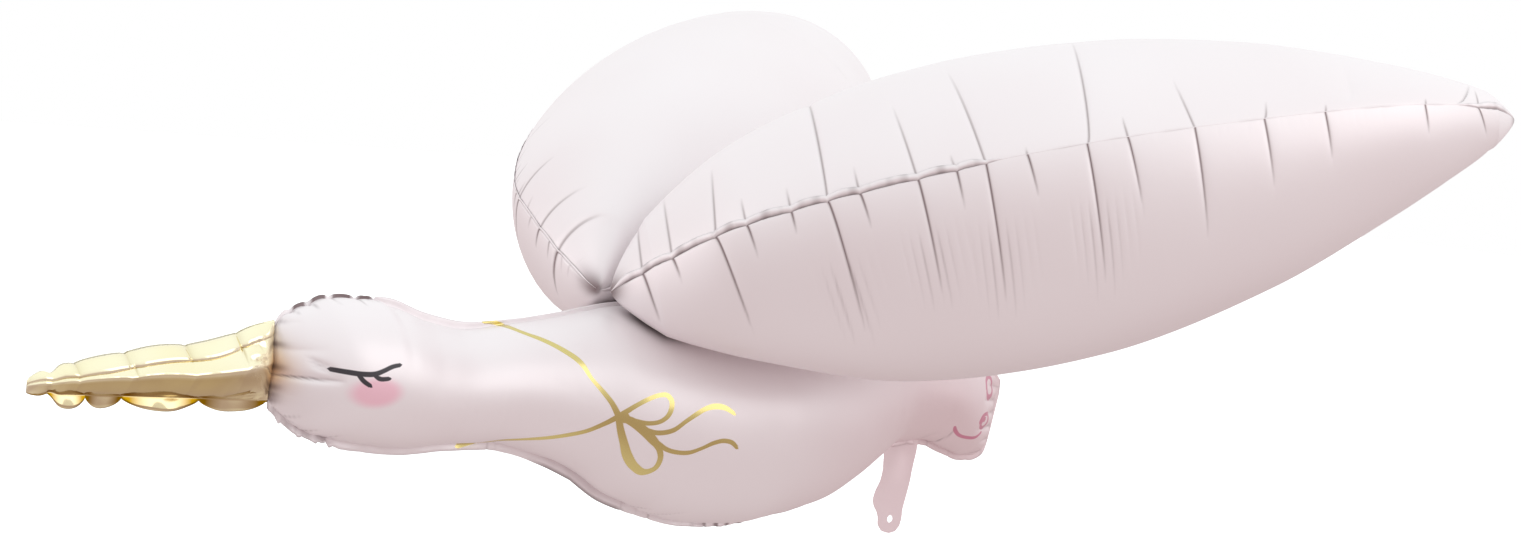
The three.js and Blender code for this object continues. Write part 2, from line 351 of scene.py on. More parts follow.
# %% [markdown]
# ### The wings' creases
# The creases of the leading weld are read off the near wing: the long ones cross the weld and run on
# over both sheets, others stay short. Each row gives the place on the weld, how far the crease runs
# over the top sheet and how far its end leans, and the same for the lower sheet, in millimetres. On
# the lower sheet, the long creases in the second quarter of the wing's length end in a bundle of fine
# parallel wrinkles.
# The trailing weld, which is hidden, gets an even row of short and long creases.

# %% Leading creases
LEADING_CREASES = [
    (28, 60, 4, 48, 7), (53, 70, 3, 26, 4), (88, 76, 9, 92, 16), (113, 32, 0, 36, 4),
    (148, 28, 0, 28, 1), (176, 195, 12, 122, 13), (201, 32, 0, 42, 4), (246, 92, -3, 112, 5),
    (276, 24, -2, 44, 1), (299, 128, -5, 132, 0), (331, 12, 0, 50, 3), (378, 160, 24, 128, 0),
    (410, 32, 0, 74, 3), (464, 62, -4, 102, -1), (521, 24, 5, 68, 0), (572, 14, 2, 52, 0),
    (660, 12, 2, 34, 0), (711, 26, 6, 30, 7),
]
LONG_REACH = 60  # millimetres, from which a crease counts as long
CREASE_DEPTH, CREASE_WIDTH = 2.6, 1.5
SOFT_DEPTH, SOFT_WIDTH = 1.6, 9  # the wide hollow that a sharp crease lies in
LEAD_CRIMP = {-1: 0.5 * MM, 1: 2.4 * MM}  # depth of the small crimps on each wing
FAR_REACH = 58  # the right wing is blown up tighter, so its creases stay short
BUNDLE_FROM, BUNDLE_TO = 170, 395  # only this part of the weld shows bundles of wrinkles
BUNDLE = (-3, -2, -1, 1, 2, 3, 4)  # fine wrinkles beside a long crease's end, counted from it
BUNDLE_STEP, BUNDLE_DEPTH, BUNDLE_WIDTH = 7, 1.7, 1.4
TOP_EXTRAS = [(596, 14, 62, 8, 4.5, 8), (690, 2, 34, 26, 4, 1.8)]  # a wide dent, and a fold near the tip


def crease_with_hollow(place, reach, lean, bundled=False):
    """Rows for one crease: the sharp crease, the hollow round it and, on a long one, fine wrinkles."""
    size = min(1.2, max(0.6, math.sqrt(reach / 100)))
    rows = [(place, 0, reach, lean, CREASE_DEPTH * size, CREASE_WIDTH * size),
            (place, 0, reach * 1.1, lean, SOFT_DEPTH * size, SOFT_WIDTH * size)]
    if bundled and reach > LONG_REACH and BUNDLE_FROM < place < BUNDLE_TO:
        for k in BUNDLE:
            end = reach * (1.15 - 0.05 * abs(k))
            deep = BUNDLE_DEPTH / (1 + 0.25 * abs(k))
            rows.append((place + BUNDLE_STEP * k, 0.5 * reach, end, lean * 0.9, deep, BUNDLE_WIDTH))
    return rows


def leading_creases(side, sheet, shift):
    """The leading weld's creases on one sheet, 1 for the top and -1 for the lower one."""
    rows = []
    for place, top_reach, top_lean, low_reach, low_lean in LEADING_CREASES:
        reach, lean = (top_reach, top_lean) if sheet > 0 else (low_reach, low_lean)
        if side > 0 and reach > FAR_REACH:
            lean = lean * FAR_REACH / reach
            reach = FAR_REACH
        rows += crease_with_hollow(place + shift, reach, lean, sheet < 0)
    if sheet > 0:
        rows += TOP_EXTRAS
    return in_mm(rows)


LEAN_STEPS = (-14, -7, 0, 7, 14)  # millimetres over which the lean is averaged
UPRIGHT_TIP = 50 * MM  # the columns stand upright again at the tip


def column_lean(along, sheet, shift):
    """How far the mesh's columns lean for each metre inward, so that they run with the creases."""
    table = np.array(LEADING_CREASES, float)
    reach, lean = (table[:, 1], table[:, 2]) if sheet > 0 else (table[:, 3], table[:, 4])
    total = 0
    for step in LEAN_STEPS:
        total = total + np.interp(along / MM + step, table[:, 0] + shift, lean / reach)
    return total / len(LEAN_STEPS) * np.clip((WING_LENGTH - along) / UPRIGHT_TIP, 0, 1)


TRAILING_COUNT, TRAILING_STEP = 24, 30  # creases, and millimetres between them


def trailing_creases(seed):
    """The trailing weld's creases: an even row with seeded changes."""
    dice = np.random.default_rng(seed)
    rows = []
    for k in range(TRAILING_COUNT):
        place = TRAILING_STEP + k * TRAILING_STEP + dice.uniform(-7, 7)
        reach = dice.uniform(24, 76)
        rows += crease_with_hollow(place, reach, 0)
    return in_mm(rows)


# %% [markdown]
# ### The blown wing
# The weld lies at the bottom of a narrow groove between the two puffed sheets, and dips at each
# crease, so that it runs in flat arches. The flat strip outside the weld has been folded up against
# the top sheet by the pull of the film. Past two fifths of the wing's length the pull is weaker, the
# groove closes and the weld shows only as a few faint marks of painted shade, until it turns into a
# fold again near the tip. The right wing's weld is drawn in less than the left one's. Painted shade
# also darkens the creases, a line under the open weld, the strip's lower part and the root and tip.

# %% Wing shape
GROOVE_DEPTH, TOP_GROOVE, LOW_GROOVE = 3.0 * MM, 4 * MM, 2.2 * MM
ARCH_RISE, WELD_DROP, ARCH_REACH = 2.6 * MM, 3.6 * MM, 12 * MM
STRIP_GAP, STRIP_WRINKLE = 1.0 * MM, 0.35 * MM
ROOT_KNOT, TIP_KNOT = 12 * MM, 6 * MM  # root and tip are gathered, and get painted shade over these reaches
WING_STRIP = 5.6 * MM
STRIP_SHARES = np.array([1.0, 0.7, 0.4, 0.15])
WELD_PLACES = np.array([0, 288, 312, 690, 722, 759]) * MM
WELD_OPENNESS = np.array([1, 1, 0.04, 0.04, 0.9, 0.9])
WELD_PULL = {-1: 1.0, 1: 0.45}  # how strongly each wing's weld is drawn in
WELD_MARKS = [  # faint marks of painted shade along the closed weld: place and half length in millimetres
    (367, 14), (407, 14), (450, 12), (515, 14), (573, 11), (618, 14), (667, 10),
]
# Strength and half width of the marks' painted shade.
MARK_SHADE, MARK_WIDTH = 0.3, 2.6 * MM
CLOSED_DEPTH = 24 * MM  # where a wing is thinner than this, its welds and creases fade out
RIGHT_WING_SHIFT = 5  # millimetres by which the right wing's creases are moved along its weld
SMALL_CRIMP_STEP, TRAIL_CRIMP = 8 * MM, 0.8 * MM
WORN_DEPTH, WORN_LENGTH, WORN_MIDDLE = 1.4 * MM, 150 * MM, 0.6
# Strengths of the creases' painted shade on the top sheet, the lower sheet and along the trailing weld.
TOP_CREASE_SHADE, LOW_CREASE_SHADE, TRAIL_SHADE = 0.65, 1.0, 0.7
WELD_LINE = 2.0 * MM  # half width of the painted shade line under the weld
# Strengths of the painted shade at root and tip.
KNOT_SHADE, TIP_SHADE = 0.9, 0.8
STRIP_RIPPLE, STRIP_WAVE = 2.3 * MM, 5.3 * MM  # two lengths of waves along a strip's edge
DOT_STEP, DOT_GROUPS = 3.1 * MM, 7.3 * MM  # small painted dark dots of shade along a strip, in groups
# Painted shade on the strip's lower part, the share of its width that it covers, and the dots' strength.
STRIP_SHADE, STRIP_SHADE_REACH, DOT_SHADE = 0.6, 0.2, 0.3
OVER_LIP = 0.4  # share of a strip's width that goes over the top sheet's lip


def wing_sheet(side, sheet, along):
    """One sheet: places along and across the wing, height off its middle plane and painted shade."""
    shift = 0 if side < 0 else RIGHT_WING_SHIFT
    seed = 10 + sheet + 5 * side
    lead_rows = leading_creases(side, sheet, shift)
    lead_rows = lead_rows + crimps(WING_LENGTH, SMALL_CRIMP_STEP, LEAD_CRIMP[side], seed)
    trail_rows = trailing_creases(seed + 40)
    trail_rows = trail_rows + crimps(WING_LENGTH, SMALL_CRIMP_STEP, TRAIL_CRIMP, seed + 80)
    angle = from_weld_to_weld(WING_STEPS)
    lead, trail, deep = wing_size(along / WING_LENGTH)
    inward = np.sqrt(((lead + trail) ** 2 / 4 + deep**2) / 2) * angle
    back_half = np.clip(2 * angle / np.pi - 1, 0, 1)
    keep = 1 - back_half**2 * (3 - 2 * back_half)
    slid = along + column_lean(along, sheet, shift) * inward * keep
    lead, trail, deep = wing_size(slid / WING_LENGTH)
    reach = (lead + trail) / 2
    arc = np.sqrt((reach**2 + deep**2) / 2)
    near_lead, near_trail = arc * angle, arc * (np.pi - angle)
    closing = np.clip(deep / CLOSED_DEPTH, 0, 1)
    openness = np.interp(slid, WELD_PLACES, WELD_OPENNESS) * closing * WELD_PULL[side]
    at_lead, dark_lead = valleys(slid, near_lead, lead_rows)
    at_trail, dark_trail = valleys(slid, near_trail, trail_rows)
    worn = ridges(slid, near_lead, WORN_LENGTH, seed + 3) - WORN_MIDDLE
    worn = WORN_DEPTH * worn * np.sin(angle)
    thick = deep * np.sin(angle) ** WING_SECTION
    thick = pressed(thick + worn, (at_lead + at_trail) * closing)
    arch_places = [0] + [(row[0] + shift) * MM for row in LEADING_CREASES] + [WING_LENGTH]
    arch = arches(slid, arch_places)
    lift = (ARCH_RISE * arch - WELD_DROP) * openness
    thick = thick + sheet * lift * np.exp(-near_lead / ARCH_REACH)
    groove = TOP_GROOVE if sheet > 0 else LOW_GROOVE
    across = (lead - trail) / 2 + reach * np.cos(angle)
    across = across - GROOVE_DEPTH * openness * np.exp(-(near_lead / groove) ** 2)
    across = across + GROOVE_DEPTH * closing * np.exp(-(near_trail / groove) ** 2)
    # Painted shade along the creases.
    crease_shade = TOP_CREASE_SHADE if sheet > 0 else LOW_CREASE_SHADE
    dark = np.maximum(dark_lead * crease_shade, dark_trail * TRAIL_SHADE) * closing
    # Painted shade at the gathered root and tip.
    knot = KNOT_SHADE * np.exp(-((slid / ROOT_KNOT) ** 2)) * np.exp(-((near_lead / ROOT_KNOT) ** 2))
    knot = knot + TIP_SHADE * np.exp(-((WING_LENGTH - slid) / TIP_KNOT) ** 2)
    dark = np.maximum(dark, knot)
    # Painted shade under the open weld, on the lower sheet.
    if sheet < 0:
        weld_line = np.exp(-(near_lead / WELD_LINE) ** 2)
        dark = np.maximum(dark, openness**2 * (0.65 + 0.35 * arch) * weld_line)
    # Faint marks of painted shade where the closed weld shows.
    for place, half in WELD_MARKS:
        mark = np.exp(-((slid / MM - place) / half) ** 4 - (near_lead / MARK_WIDTH) ** 2)
        dark = np.maximum(dark, MARK_SHADE * mark)
    return slid, across, sheet * thick, dark


def wing_rings(side):
    """Rings of a whole wing, strips and all, and their painted shade."""
    share = np.linspace(0, 1, WING_COLUMNS + 1)
    share = share - END_GATHER * np.sin(2 * np.pi * share) / (2 * np.pi)
    along = np.clip(share, LAST_SHARE, 1 - LAST_SHARE)[:, None] * WING_LENGTH
    top = wing_sheet(side, 1, along)
    low = wing_sheet(side, -1, along)
    lead, trail, deep = wing_size(along / WING_LENGTH)
    closing = np.clip(deep / CLOSED_DEPTH, 0, 1)
    openness = np.interp(along, WELD_PLACES, WELD_OPENNESS) * closing * WELD_PULL[side]

    def placed(slid, across, thick):
        shape = np.broadcast(slid, across, thick).shape
        flat = np.stack([np.broadcast_to(part, shape) for part in (slid, across, thick)], -1)
        return turned_into_place(flat.reshape(-1, 3), side).reshape(flat.shape)

    def folded_strip(edge, sign, opened, seed):
        """A strip from the bottom of the groove out over the top sheet's lip and up along it, with painted
        shade on its lower part and in dots.
        """
        shares = STRIP_SHARES[None, :]
        width = np.minimum(WING_STRIP, (lead + trail) / 6 + 1 * MM) * (0.05 + 0.95 * opened)
        wrinkle = STRIP_WRINKLE * opened * (np.sin(along / STRIP_RIPPLE + seed)
                                            + np.sin(along / STRIP_WAVE + 2 * seed))
        turned = np.sin(np.pi / 2 * np.clip(shares / OVER_LIP, 0, 1))
        over = (GROOVE_DEPTH + STRIP_GAP) * opened * turned
        across = edge[1] + sign * (over + wrinkle * shares**2)
        thick = edge[2] + width * shares**1.2
        dots = DOT_SHADE * np.clip(np.sin(along / DOT_STEP + seed) * np.sin(along / DOT_GROUPS), 0, 1)
        shade = STRIP_SHADE * np.exp(-(shares / STRIP_SHADE_REACH) ** 2)
        shade = opened * (shade + dots) + 0 * across
        offset = sign * FOIL_EDGE * (0.1 + 0.9 * opened)
        inner_side = placed(along, across - offset, thick)
        outer_side = placed(along, across + offset, thick)
        return (inner_side, shade), (outer_side, shade)

    lead_in, lead_out = folded_strip([part[:, :1] for part in top], 1, openness, 1.0)
    trail_in, trail_out = folded_strip([part[:, -1:] for part in top], -1, closing, 2.0)
    inner = slice(1, -1)
    top_skin = placed(*[part[:, inner] for part in top[:3]]), top[3][:, inner]
    low_skin = placed(*[part[:, inner] for part in low[:3]]), low[3][:, inner]
    parts = [lead_in, top_skin, [part[:, ::-1] for part in trail_in], trail_out,
             [part[:, ::-1] for part in low_skin], [part[:, ::-1] for part in lead_out]]
    rings = np.concatenate([part[0] for part in parts], axis=1)
    painted_shades = np.concatenate([part[1] for part in parts], axis=1)
    return rings, painted_shades


# %% Make both wings
wings = {}
for wing_name, side in (("wing_left", -1), ("wing_right", 1)):
    wings[wing_name] = wrapped(wing_name + "_foil", *wing_rings(side))

# %% [markdown]
# ## The body
# Head, neck, belly and tail are one envelope, welded along the back and along the belly. Its outline is
# the bird's. It closes quickly where it meets the beak, and in a long flat wedge at the tail's end.

# %% Body measures
BODY_FULLNESS = 0.42
BODY_SECTION = 1.1
HEAD_PINCH, TAIL_PINCH, TAIL_ROUND = 62 * MM, 90 * MM, 1.6
BACK_OUTLINE = [(0, -41), (11, -29), (28, -22), (60, -12), (124, -14), (175, -29), (226, -37),
                (279, -33), (340, -24), (397, -13), (476, -6), (595, -6), (714, -16), (833, -34),
                (923, -52), (975, -68), (1000, -92)]
BELLY_OUTLINE = [(0, -131), (16, -146), (44, -162), (91, -171), (159, -177), (210, -173), (260, -172),
                 (294, -177), (330, -188), (369, -204), (412, -229), (461, -245), (531, -260),
                 (595, -262), (645, -253), (700, -242), (746, -220), (784, -196), (819, -175),
                 (873, -170), (913, -181), (945, -190), (962, -190), (984, -181), (990, -158), (995, -132),
                 (1000, -108)]
BODY_COLUMNS = 390
BODY_STEPS = 104
OUTLINE_SMOOTHING = 16
BODY_GROOVE = 4 * MM
BACK_STRIP = [(0, 2.6), (84, 2.0), (96, 6), (150, 6), (215, 3), (756, 4)]  # place and width, mm
BELLY_STRIP = [(0, 7), (60, 7), (75, 6.5), (200, 6), (344, 6), (362, 4), (756, 5)]
HEAD_PILLOWS = np.array([0, 12, 27, 44, 67, 84]) * MM  # dips along the top of the head
THROAT_PLEATS = np.array([0, 9, 13, 26, 30, 45, 50, 60]) * MM
PILLOW_DIP, PLEAT_DIP, DIP_REACH = 3.0 * MM, 2.0 * MM, 9 * MM
BODY_GATHER = 0.1  # the body's rows are almost evenly spaced


def outline(points, along):
    """Height of the back or belly line at places along the body."""
    places, heights = np.array(points).T
    row = np.linspace(0, 1000, 1001)
    heights = smoothed(between(places, heights, row), OUTLINE_SMOOTHING)
    return np.interp(along / BODY_LENGTH * 1000, row, heights) * BODY_LENGTH / 1000


# %% [markdown]
# ### The body's creases
# Along back and belly the creases are short. At the beak joint the foil is gathered, so folds fan out
# over the head from that end, and fewer do so at the tail's end. A fold there is given by its height
# on the end's seam, its length, its lean, its depth and its half width.

# %% Body creases
BACK_CREASES = in_mm([
    (12, 0, 16, 4, 3, 2), (27, 0, 20, 3, 3, 2), (44, 0, 22, 2, 3, 2), (67, 0, 22, 1, 3, 2),
    (84, 0, 14, 0, 2.4, 2), (75, 0, 15, 2, 2.2, 1.6), (286, 0, 40, 14, 1.5, 4), (318, 0, 40, -12, 1.5, 4),
    (610, 0, 34, 2, 1.6, 3), (668, 0, 38, 3, 2.2, 3), (706, 0, 36, 2, 2.6, 2.6), (732, 0, 26, 0, 2.6, 2.4),
])
BELLY_CREASES = in_mm([
    (9, 0, 26, 12, 3, 2.4), (14, 0, 12, 6, 2, 1.6), (26, 0, 22, 10, 3, 2), (31, 0, 10, 6, 2, 1.6),
    (45, 0, 24, 9, 3, 2), (50, 0, 14, 6, 2, 1.6), (84, 0, 20, 2, 1.2, 3),
    (200, 0, 22, 0, 1.6, 1.2), (208, 0, 16, 0, 1.2, 1.2), (282, 0, 30, -6, 2, 3), (338, 0, 26, 16, 3.0, 2),
    (352, 0, 44, 26, 1.8, 1.6), (366, 0, 16, 2, 3, 1.8), (424, 0, 12, 0, 2.4, 1.6),
    (437, 0, 14, 0, 2.8, 1.8), (449, 0, 12, 0, 2.4, 1.6), (462, 0, 14, 0, 2.8, 1.8),
    (474, 0, 12, 0, 2.4, 1.6), (487, 0, 12, 0, 2.6, 1.6), (548, 0, 24, -14, 3, 2),
    (648, 0, 30, 12, 4, 4), (672, 0, 44, 6, 3.4, 2.2), (700, 0, 20, 2, 2, 2.4), (722, 0, 14, 0, 2, 2.2),
])
HEAD_FOLDS = in_mm([
    (-32, 0, 16, 2, 1.6, 2.4), (-52, 0, 30, 4, 2, 5), (-71, 0, 40, 1, 5, 1.7), (-83, 0, 14, -2, 1.6, 2.2),
    (-92, 0, 24, -6, 2, 4),
    (-54, 14, 34, -7, 1.3, 1.3), (-57, 15, 36, -7, 1.4, 1.3), (-60, 17, 36, -7, 1.2, 1.3),
])
RAGGED_DEPTH = 2.6 * MM
CURL_PLACE, CURL_REACH = 458 * MM, 42 * MM  # the belly's weld curls here
# How far behind the joint the gaps' painted shade reaches.
GAP_REACH = 5 * MM
RIM_GAPS = [  # painted shade in the gaps at the joint: height and half height in millimetres
    (-31, 1.6), (-48, 2.6), (-65, 2.8), (-80, 3), (-86, 3), (-91, 2.4),
]
RUFFLE_END, RUFFLE_FADE = 70 * MM, 20 * MM  # the throat's weld is ruffled up to here
RUFFLE_RIPPLE, RUFFLE_WAVE, CURL_RIPPLE = 4.3 * MM, 9 * MM, 2.1 * MM
EDGE_WAVE, EDGE_RIPPLE = 19 * MM, 3.7 * MM
BELLY_WAVE, RUFFLE_HEIGHT = 0.7, 2.6  # millimetres
# Strengths of the painted shade in the body's creases, the joint's gaps and the tail's folds.
BODY_DARK, GAP_DARK, TAIL_DARK = 0.6, 0.75, 0.7
TAIL_FOLDS = in_mm([
    (-76, 0, 30, 4, 3, 2.6), (-88, 0, 46, 4, 3.4, 2.6), (-99, 0, 34, 2, 3, 2.4), (-111, 0, 52, 0, 3.8, 2.6),
    (-122, 0, 34, -2, 3, 2.4), (-133, 0, 46, -4, 3.6, 2.6), (-144, 0, 30, -6, 3, 2.4),
])
BODY_CRIMP_STEP, BACK_CRIMP, BELLY_CRIMP = 9 * MM, 0.3 * MM, 0.4 * MM
BODY_WORN_DEPTH, BODY_WORN_LENGTH = 1.2 * MM, 80 * MM
GROOVE_BASE, GROOVE_IN_VIEW = 1.0 * MM, 5 * MM
# Painted shade in the belly's deep weld groove, and how far it reaches.
WELD_SHADE, WELD_SHADE_REACH = 0.95, 3.2 * MM
WELD_IN_VIEW = (238 * MM, 344 * MM)  # where the belly's weld turns up on both flanks as a deep groove
VIEW_FADE_IN, VIEW_FADE_OUT = 20 * MM, 12 * MM


# %% [markdown]
# ### The blown body
# The same steps as for a wing: the section from the measures, the puffs beside the welds, and then the
# creases pressed in. The top of the head is pinched into small pillows and the throat into pleats, both
# only close to the weld. Both flanks are alike apart from their small crimps.

# %% Body shape
def body_rings():
    share = np.linspace(0, 1, BODY_COLUMNS + 1)
    along = (share * BODY_LENGTH)[:, None]
    pillow = np.where(along < HEAD_PILLOWS[-1], arches(along, HEAD_PILLOWS), 1)
    pleat = np.where(along < THROAT_PLEATS[-1], arches(along, THROAT_PLEATS), 1)
    top, bottom = outline(BACK_OUTLINE, along), outline(BELLY_OUTLINE, along)
    pillow_dip, pleat_dip = PILLOW_DIP * (1 - pillow), PLEAT_DIP * (1 - pleat)
    height = top - bottom
    back_strip = np.minimum(between(*np.array(BACK_STRIP).T, along / MM) * MM, height / 6)
    belly_strip = np.minimum(between(*np.array(BELLY_STRIP).T, along / MM) * MM, height / 6)
    upper, lower = top - back_strip, bottom + belly_strip
    from_tail = BODY_LENGTH - along
    taper = 1 - (1 - np.clip(from_tail / TAIL_PINCH, 0, 1)) ** TAIL_ROUND
    closing = swell(along, HEAD_PINCH) * taper
    half = BODY_FULLNESS * height * closing
    middle, reach = (upper + lower) / 2, (upper - lower) / 2
    angle = from_weld_to_weld(BODY_STEPS, BODY_GATHER)
    arc = np.sqrt((reach**2 + half**2) / 2)
    near_back, near_belly = arc * angle, arc * (np.pi - angle)
    across = middle + reach * np.cos(angle)
    sheets, darks, pulled_back, pulled_belly = [], [], 0, 0
    for sheet in (-1, 1):
        seed = 200 + sheet
        back_rows = BACK_CREASES + crimps(BODY_LENGTH, BODY_CRIMP_STEP, BACK_CRIMP, seed)
        belly_rows = BELLY_CREASES + crimps(BODY_LENGTH, BODY_CRIMP_STEP, BELLY_CRIMP, seed + 7)
        at_back, dark_back = valleys(along, near_back, back_rows)
        at_belly, dark_belly = valleys(along, near_belly, belly_rows)
        head, dark_head = valleys(across, np.broadcast_to(along, across.shape), HEAD_FOLDS)
        tail, dark_tail = valleys(across, np.broadcast_to(from_tail, across.shape), TAIL_FOLDS)
        thick = half * np.sin(angle) ** BODY_SECTION
        worn = BODY_WORN_DEPTH * closing * ridges(along, across, BODY_WORN_LENGTH, 17) * np.sin(angle)
        valley = (at_back + at_belly) * closing + head + tail
        sheets.append(np.maximum(pressed(thick + worn, valley), FOIL_EDGE))
        # Painted shade in the folds and in the gaps at the joint.
        gaps = sum(np.exp(-((across / MM - level) / half_gap) ** 2) for level, half_gap in RIM_GAPS)
        gaps = np.clip(gaps, 0, 1) * np.exp(-((along / GAP_REACH) ** 2))
        dark = np.maximum.reduce([dark_back, dark_belly, dark_head, TAIL_DARK * dark_tail])
        darks.append(np.maximum(BODY_DARK * dark, GAP_DARK * gaps))
        pulled_back = pulled_back + at_back[:, :1] / 4
        pulled_belly = pulled_belly + at_belly[:, -1:] / 4
    first, last = WELD_IN_VIEW
    deeper = np.clip((along - first) / VIEW_FADE_IN, 0, 1)
    deeper = deeper * np.clip((last - along) / VIEW_FADE_OUT, 0, 1)
    groove_back = GROOVE_BASE * closing + pulled_back
    groove_belly = (GROOVE_BASE + GROOVE_IN_VIEW * deeper) * closing + pulled_belly
    across = across - groove_back * np.exp(-(near_back / BODY_GROOVE) ** 2)
    across = across + groove_belly * np.exp(-(near_belly / (BODY_GROOVE * (1 + deeper))) ** 2)
    across = across - pillow_dip * np.exp(-(near_back / DIP_REACH) ** 2)
    across = across + pleat_dip * np.exp(-(near_belly / DIP_REACH) ** 2)
    # Painted shade in the belly's deep weld groove.
    crease_dark = darks[0][:, -1:]
    weld_dark = WELD_SHADE * deeper * np.exp(-(near_belly / WELD_SHADE_REACH) ** 2)
    darks = [np.maximum(dark, weld_dark) for dark in darks]
    in_groove = 0.8 * weld_dark[:, -1:]

    def row(across_values, thick_values):
        wide = np.broadcast_to(along, across_values.shape)
        return np.stack([wide, thick_values, across_values], -1) + BIRD

    def strip_rows(inner, sign, pulled, tip, waves, shade, groove):
        """Both sides of a welded strip, from its outer edge to the weld, and its painted shade."""
        shares = STRIP_SHARES[None, :]
        outer = tip - sign * np.minimum(pulled * 0.5, 2 * MM)
        across_values = inner + (outer - inner) * shares
        wave, phase = waves
        lift = closing * wave * (np.sin(along / EDGE_WAVE + phase)
                                 + 0.4 * np.sin(along / EDGE_RIPPLE + 2 * phase)) * shares**1.5
        lift = lift + pulled * 0.5 * shares
        left_face = row(across_values, lift - FOIL_EDGE)
        right_face = row(across_values, lift + FOIL_EDGE)
        return left_face, right_face, np.maximum(shade, groove * (shares < 0.2))

    inner = slice(1, -1)
    left = row(across[:, inner], -sheets[0][:, inner])
    right_side = row(across[:, inner], sheets[1][:, inner])
    # Painted shade: dark dashes over the head's pillows, and along the throat's ruffles and the belly's
    # curls.
    crest = np.clip((pillow - 0.6) / 0.2, 0, 1) * (along < HEAD_PILLOWS[-1]) * (along > HEAD_PILLOWS[1])
    ruffle = np.clip((RUFFLE_END - along) / RUFFLE_FADE, 0, 1)
    ragged = ruffle * np.abs(np.sin(along / RUFFLE_RIPPLE + 0.6 * np.sin(along / RUFFLE_WAVE)))
    curls = np.exp(-((along - CURL_PLACE) / CURL_REACH) ** 4)
    curl_dark = 0.8 * curls * np.clip(np.sin(along / CURL_RIPPLE) * 1.4 - 0.2, 0, 1)
    at_weld = np.maximum.reduce([0.6 * crease_dark, 0.3 * ruffle * (1 - pleat), 0.3 * ragged**3, curl_dark])
    back = strip_rows(across[:, :1], 1, pulled_back, top - pillow_dip, (0.5 * MM, 0.4), 0.9 * crest, 0)
    belly = strip_rows(across[:, -1:], -1, pulled_belly, bottom + pleat_dip + RAGGED_DEPTH * ragged,
                       ((BELLY_WAVE + RUFFLE_HEIGHT * ruffle + RUFFLE_HEIGHT * curls) * MM, 2.0),
                       at_weld, in_groove)
    rings = np.concatenate([back[0], left, belly[0][:, ::-1], belly[1], right_side[:, ::-1],
                            back[1][:, ::-1]], axis=1)
    painted_shades = np.concatenate([back[2], darks[0][:, inner], belly[2], belly[2], darks[1][:, inner][:, ::-1],
                            back[2]], axis=1)
    return rings, painted_shades


body = wrapped("body_foil", *body_rings())

# %% [markdown]
# ### The filling tab
# Under the tail the two sheets run on as a flat tab, through which the balloon is filled and which has
# a hole for a ribbon. It is a flat grid laid out in rings round the hole, out to the tab's outline,
# given its thickness by a Solidify modifier and joined to the body's foil.

# %% Tab
HOLE_RADIUS = 3.4 * MM
TAB_SAMPLES, TAB_SMOOTHING = 800, 60
TAB_GRID = (28, 160)  # rings from hole to outline, and steps round them
TAB_OUTLINE = [(0, -13), (7.5, -11.5), (12, -6.5), (13.7, 0), (13.8, 9), (16.8, 21), (19.6, 34), (20.4, 46),
               (22.5, 60), (24, 84), (-18, 84), (-16, 60), (-14.4, 44), (-16, 34), (-20.3, 26),
               (-22.6, 18), (-20.5, 12), (-16.5, 7), (-14.4, 2), (-13.8, -5), (-8.5, -11)]


def tab_edge(angle):
    """Distance from the hole's centre to the tab's outline in a direction."""
    points = np.array(TAB_OUTLINE) * MM
    fine = np.linspace(0, len(points), TAB_SAMPLES, endpoint=False)
    corners = np.arange(len(points) + 1)
    ring = [np.interp(fine, corners, np.append(points[:, k], points[0, k])) for k in (0, 1)]
    for _ in range(TAB_SMOOTHING):
        ring = [(np.roll(line, 1) + 2 * line + np.roll(line, -1)) / 4 for line in ring]
    return np.interp(angle, np.unwrap(np.arctan2(ring[1], ring[0])), np.hypot(*ring), period=2 * np.pi)


def make_tab():
    columns, rows = TAB_GRID
    piece, column, row = flat_foil("tab_foil", columns, rows)
    angle = 2 * np.pi * (row % rows) / rows
    share = (column / columns) ** 1.3
    distance = HOLE_RADIUS + (tab_edge(angle) - HOLE_RADIUS) * share
    x, z = distance * np.cos(angle), distance * np.sin(angle)
    calm = np.clip((z + 5 * MM) / (60 * MM), 0, 1)
    y = calm * 1.8 * MM * np.sin(x / (6.5 * MM) + 0.8) * np.exp(-((z - 66 * MM) / (26 * MM)) ** 2)
    y = y + 0.5 * MM * ridges(x, z, 40 * MM, 5) * calm
    piece.data.vertices.foreach_set("co", np.stack([x, y, z], -1).ravel())
    bpy.ops.object.mode_set(mode="EDIT")
    bpy.ops.mesh.select_all(action="SELECT")
    bpy.ops.mesh.remove_doubles(threshold=MERGE_DISTANCE)
    bpy.ops.mesh.normals_make_consistent(inside=False)
    bpy.ops.object.mode_set(mode="OBJECT")
    wall = piece.modifiers.new("wall", "SOLIDIFY")
    wall.thickness = 2 * FOIL_EDGE
    wall.offset = 0
    bpy.ops.object.modifier_apply(modifier=wall.name)
    bpy.ops.object.shade_smooth_by_angle(angle=math.radians(40))
    return piece


tab = make_tab()
bpy.ops.object.select_all(action="DESELECT")
tab.select_set(True)
body.select_set(True)
bpy.context.view_layer.objects.active = body
bpy.ops.object.join()
print("body with tab", len(body.data.polygons), "faces")

# %% [markdown]
# ## The beak
# The beak is a slim cone of mirror-bright gold film. Its upper weld is folded down over the near side
# as a scalloped band, its lower weld hangs as a frill that twists between pinched places, and its wide
# end is gathered flat against the head. A soft ridge runs along the middle of each flank. The half
# above it mirrors the pale ceiling, and the half below it mirrors the darker floor and also gets painted
# shade. Painted shade also darkens its creases, the folds at its wide end, the band's crimps and the frill.

# %% Beak measures
BEAK_LENGTH = 192 * MM
JOINT_GAP = 0.3 * MM
BEAK_ROOT_HEIGHT, BEAK_TIP_HEIGHT = 72 * MM, 28 * MM
BEAK_FULLNESS, BEAK_END, BEAK_SECTION = 0.4, 0.42, 1.35
KNOB_PLACE, KNOB_REACH, KNOB_PINCH = 17 * MM, 5 * MM, 0.3  # the tip is a knob behind a pinched place
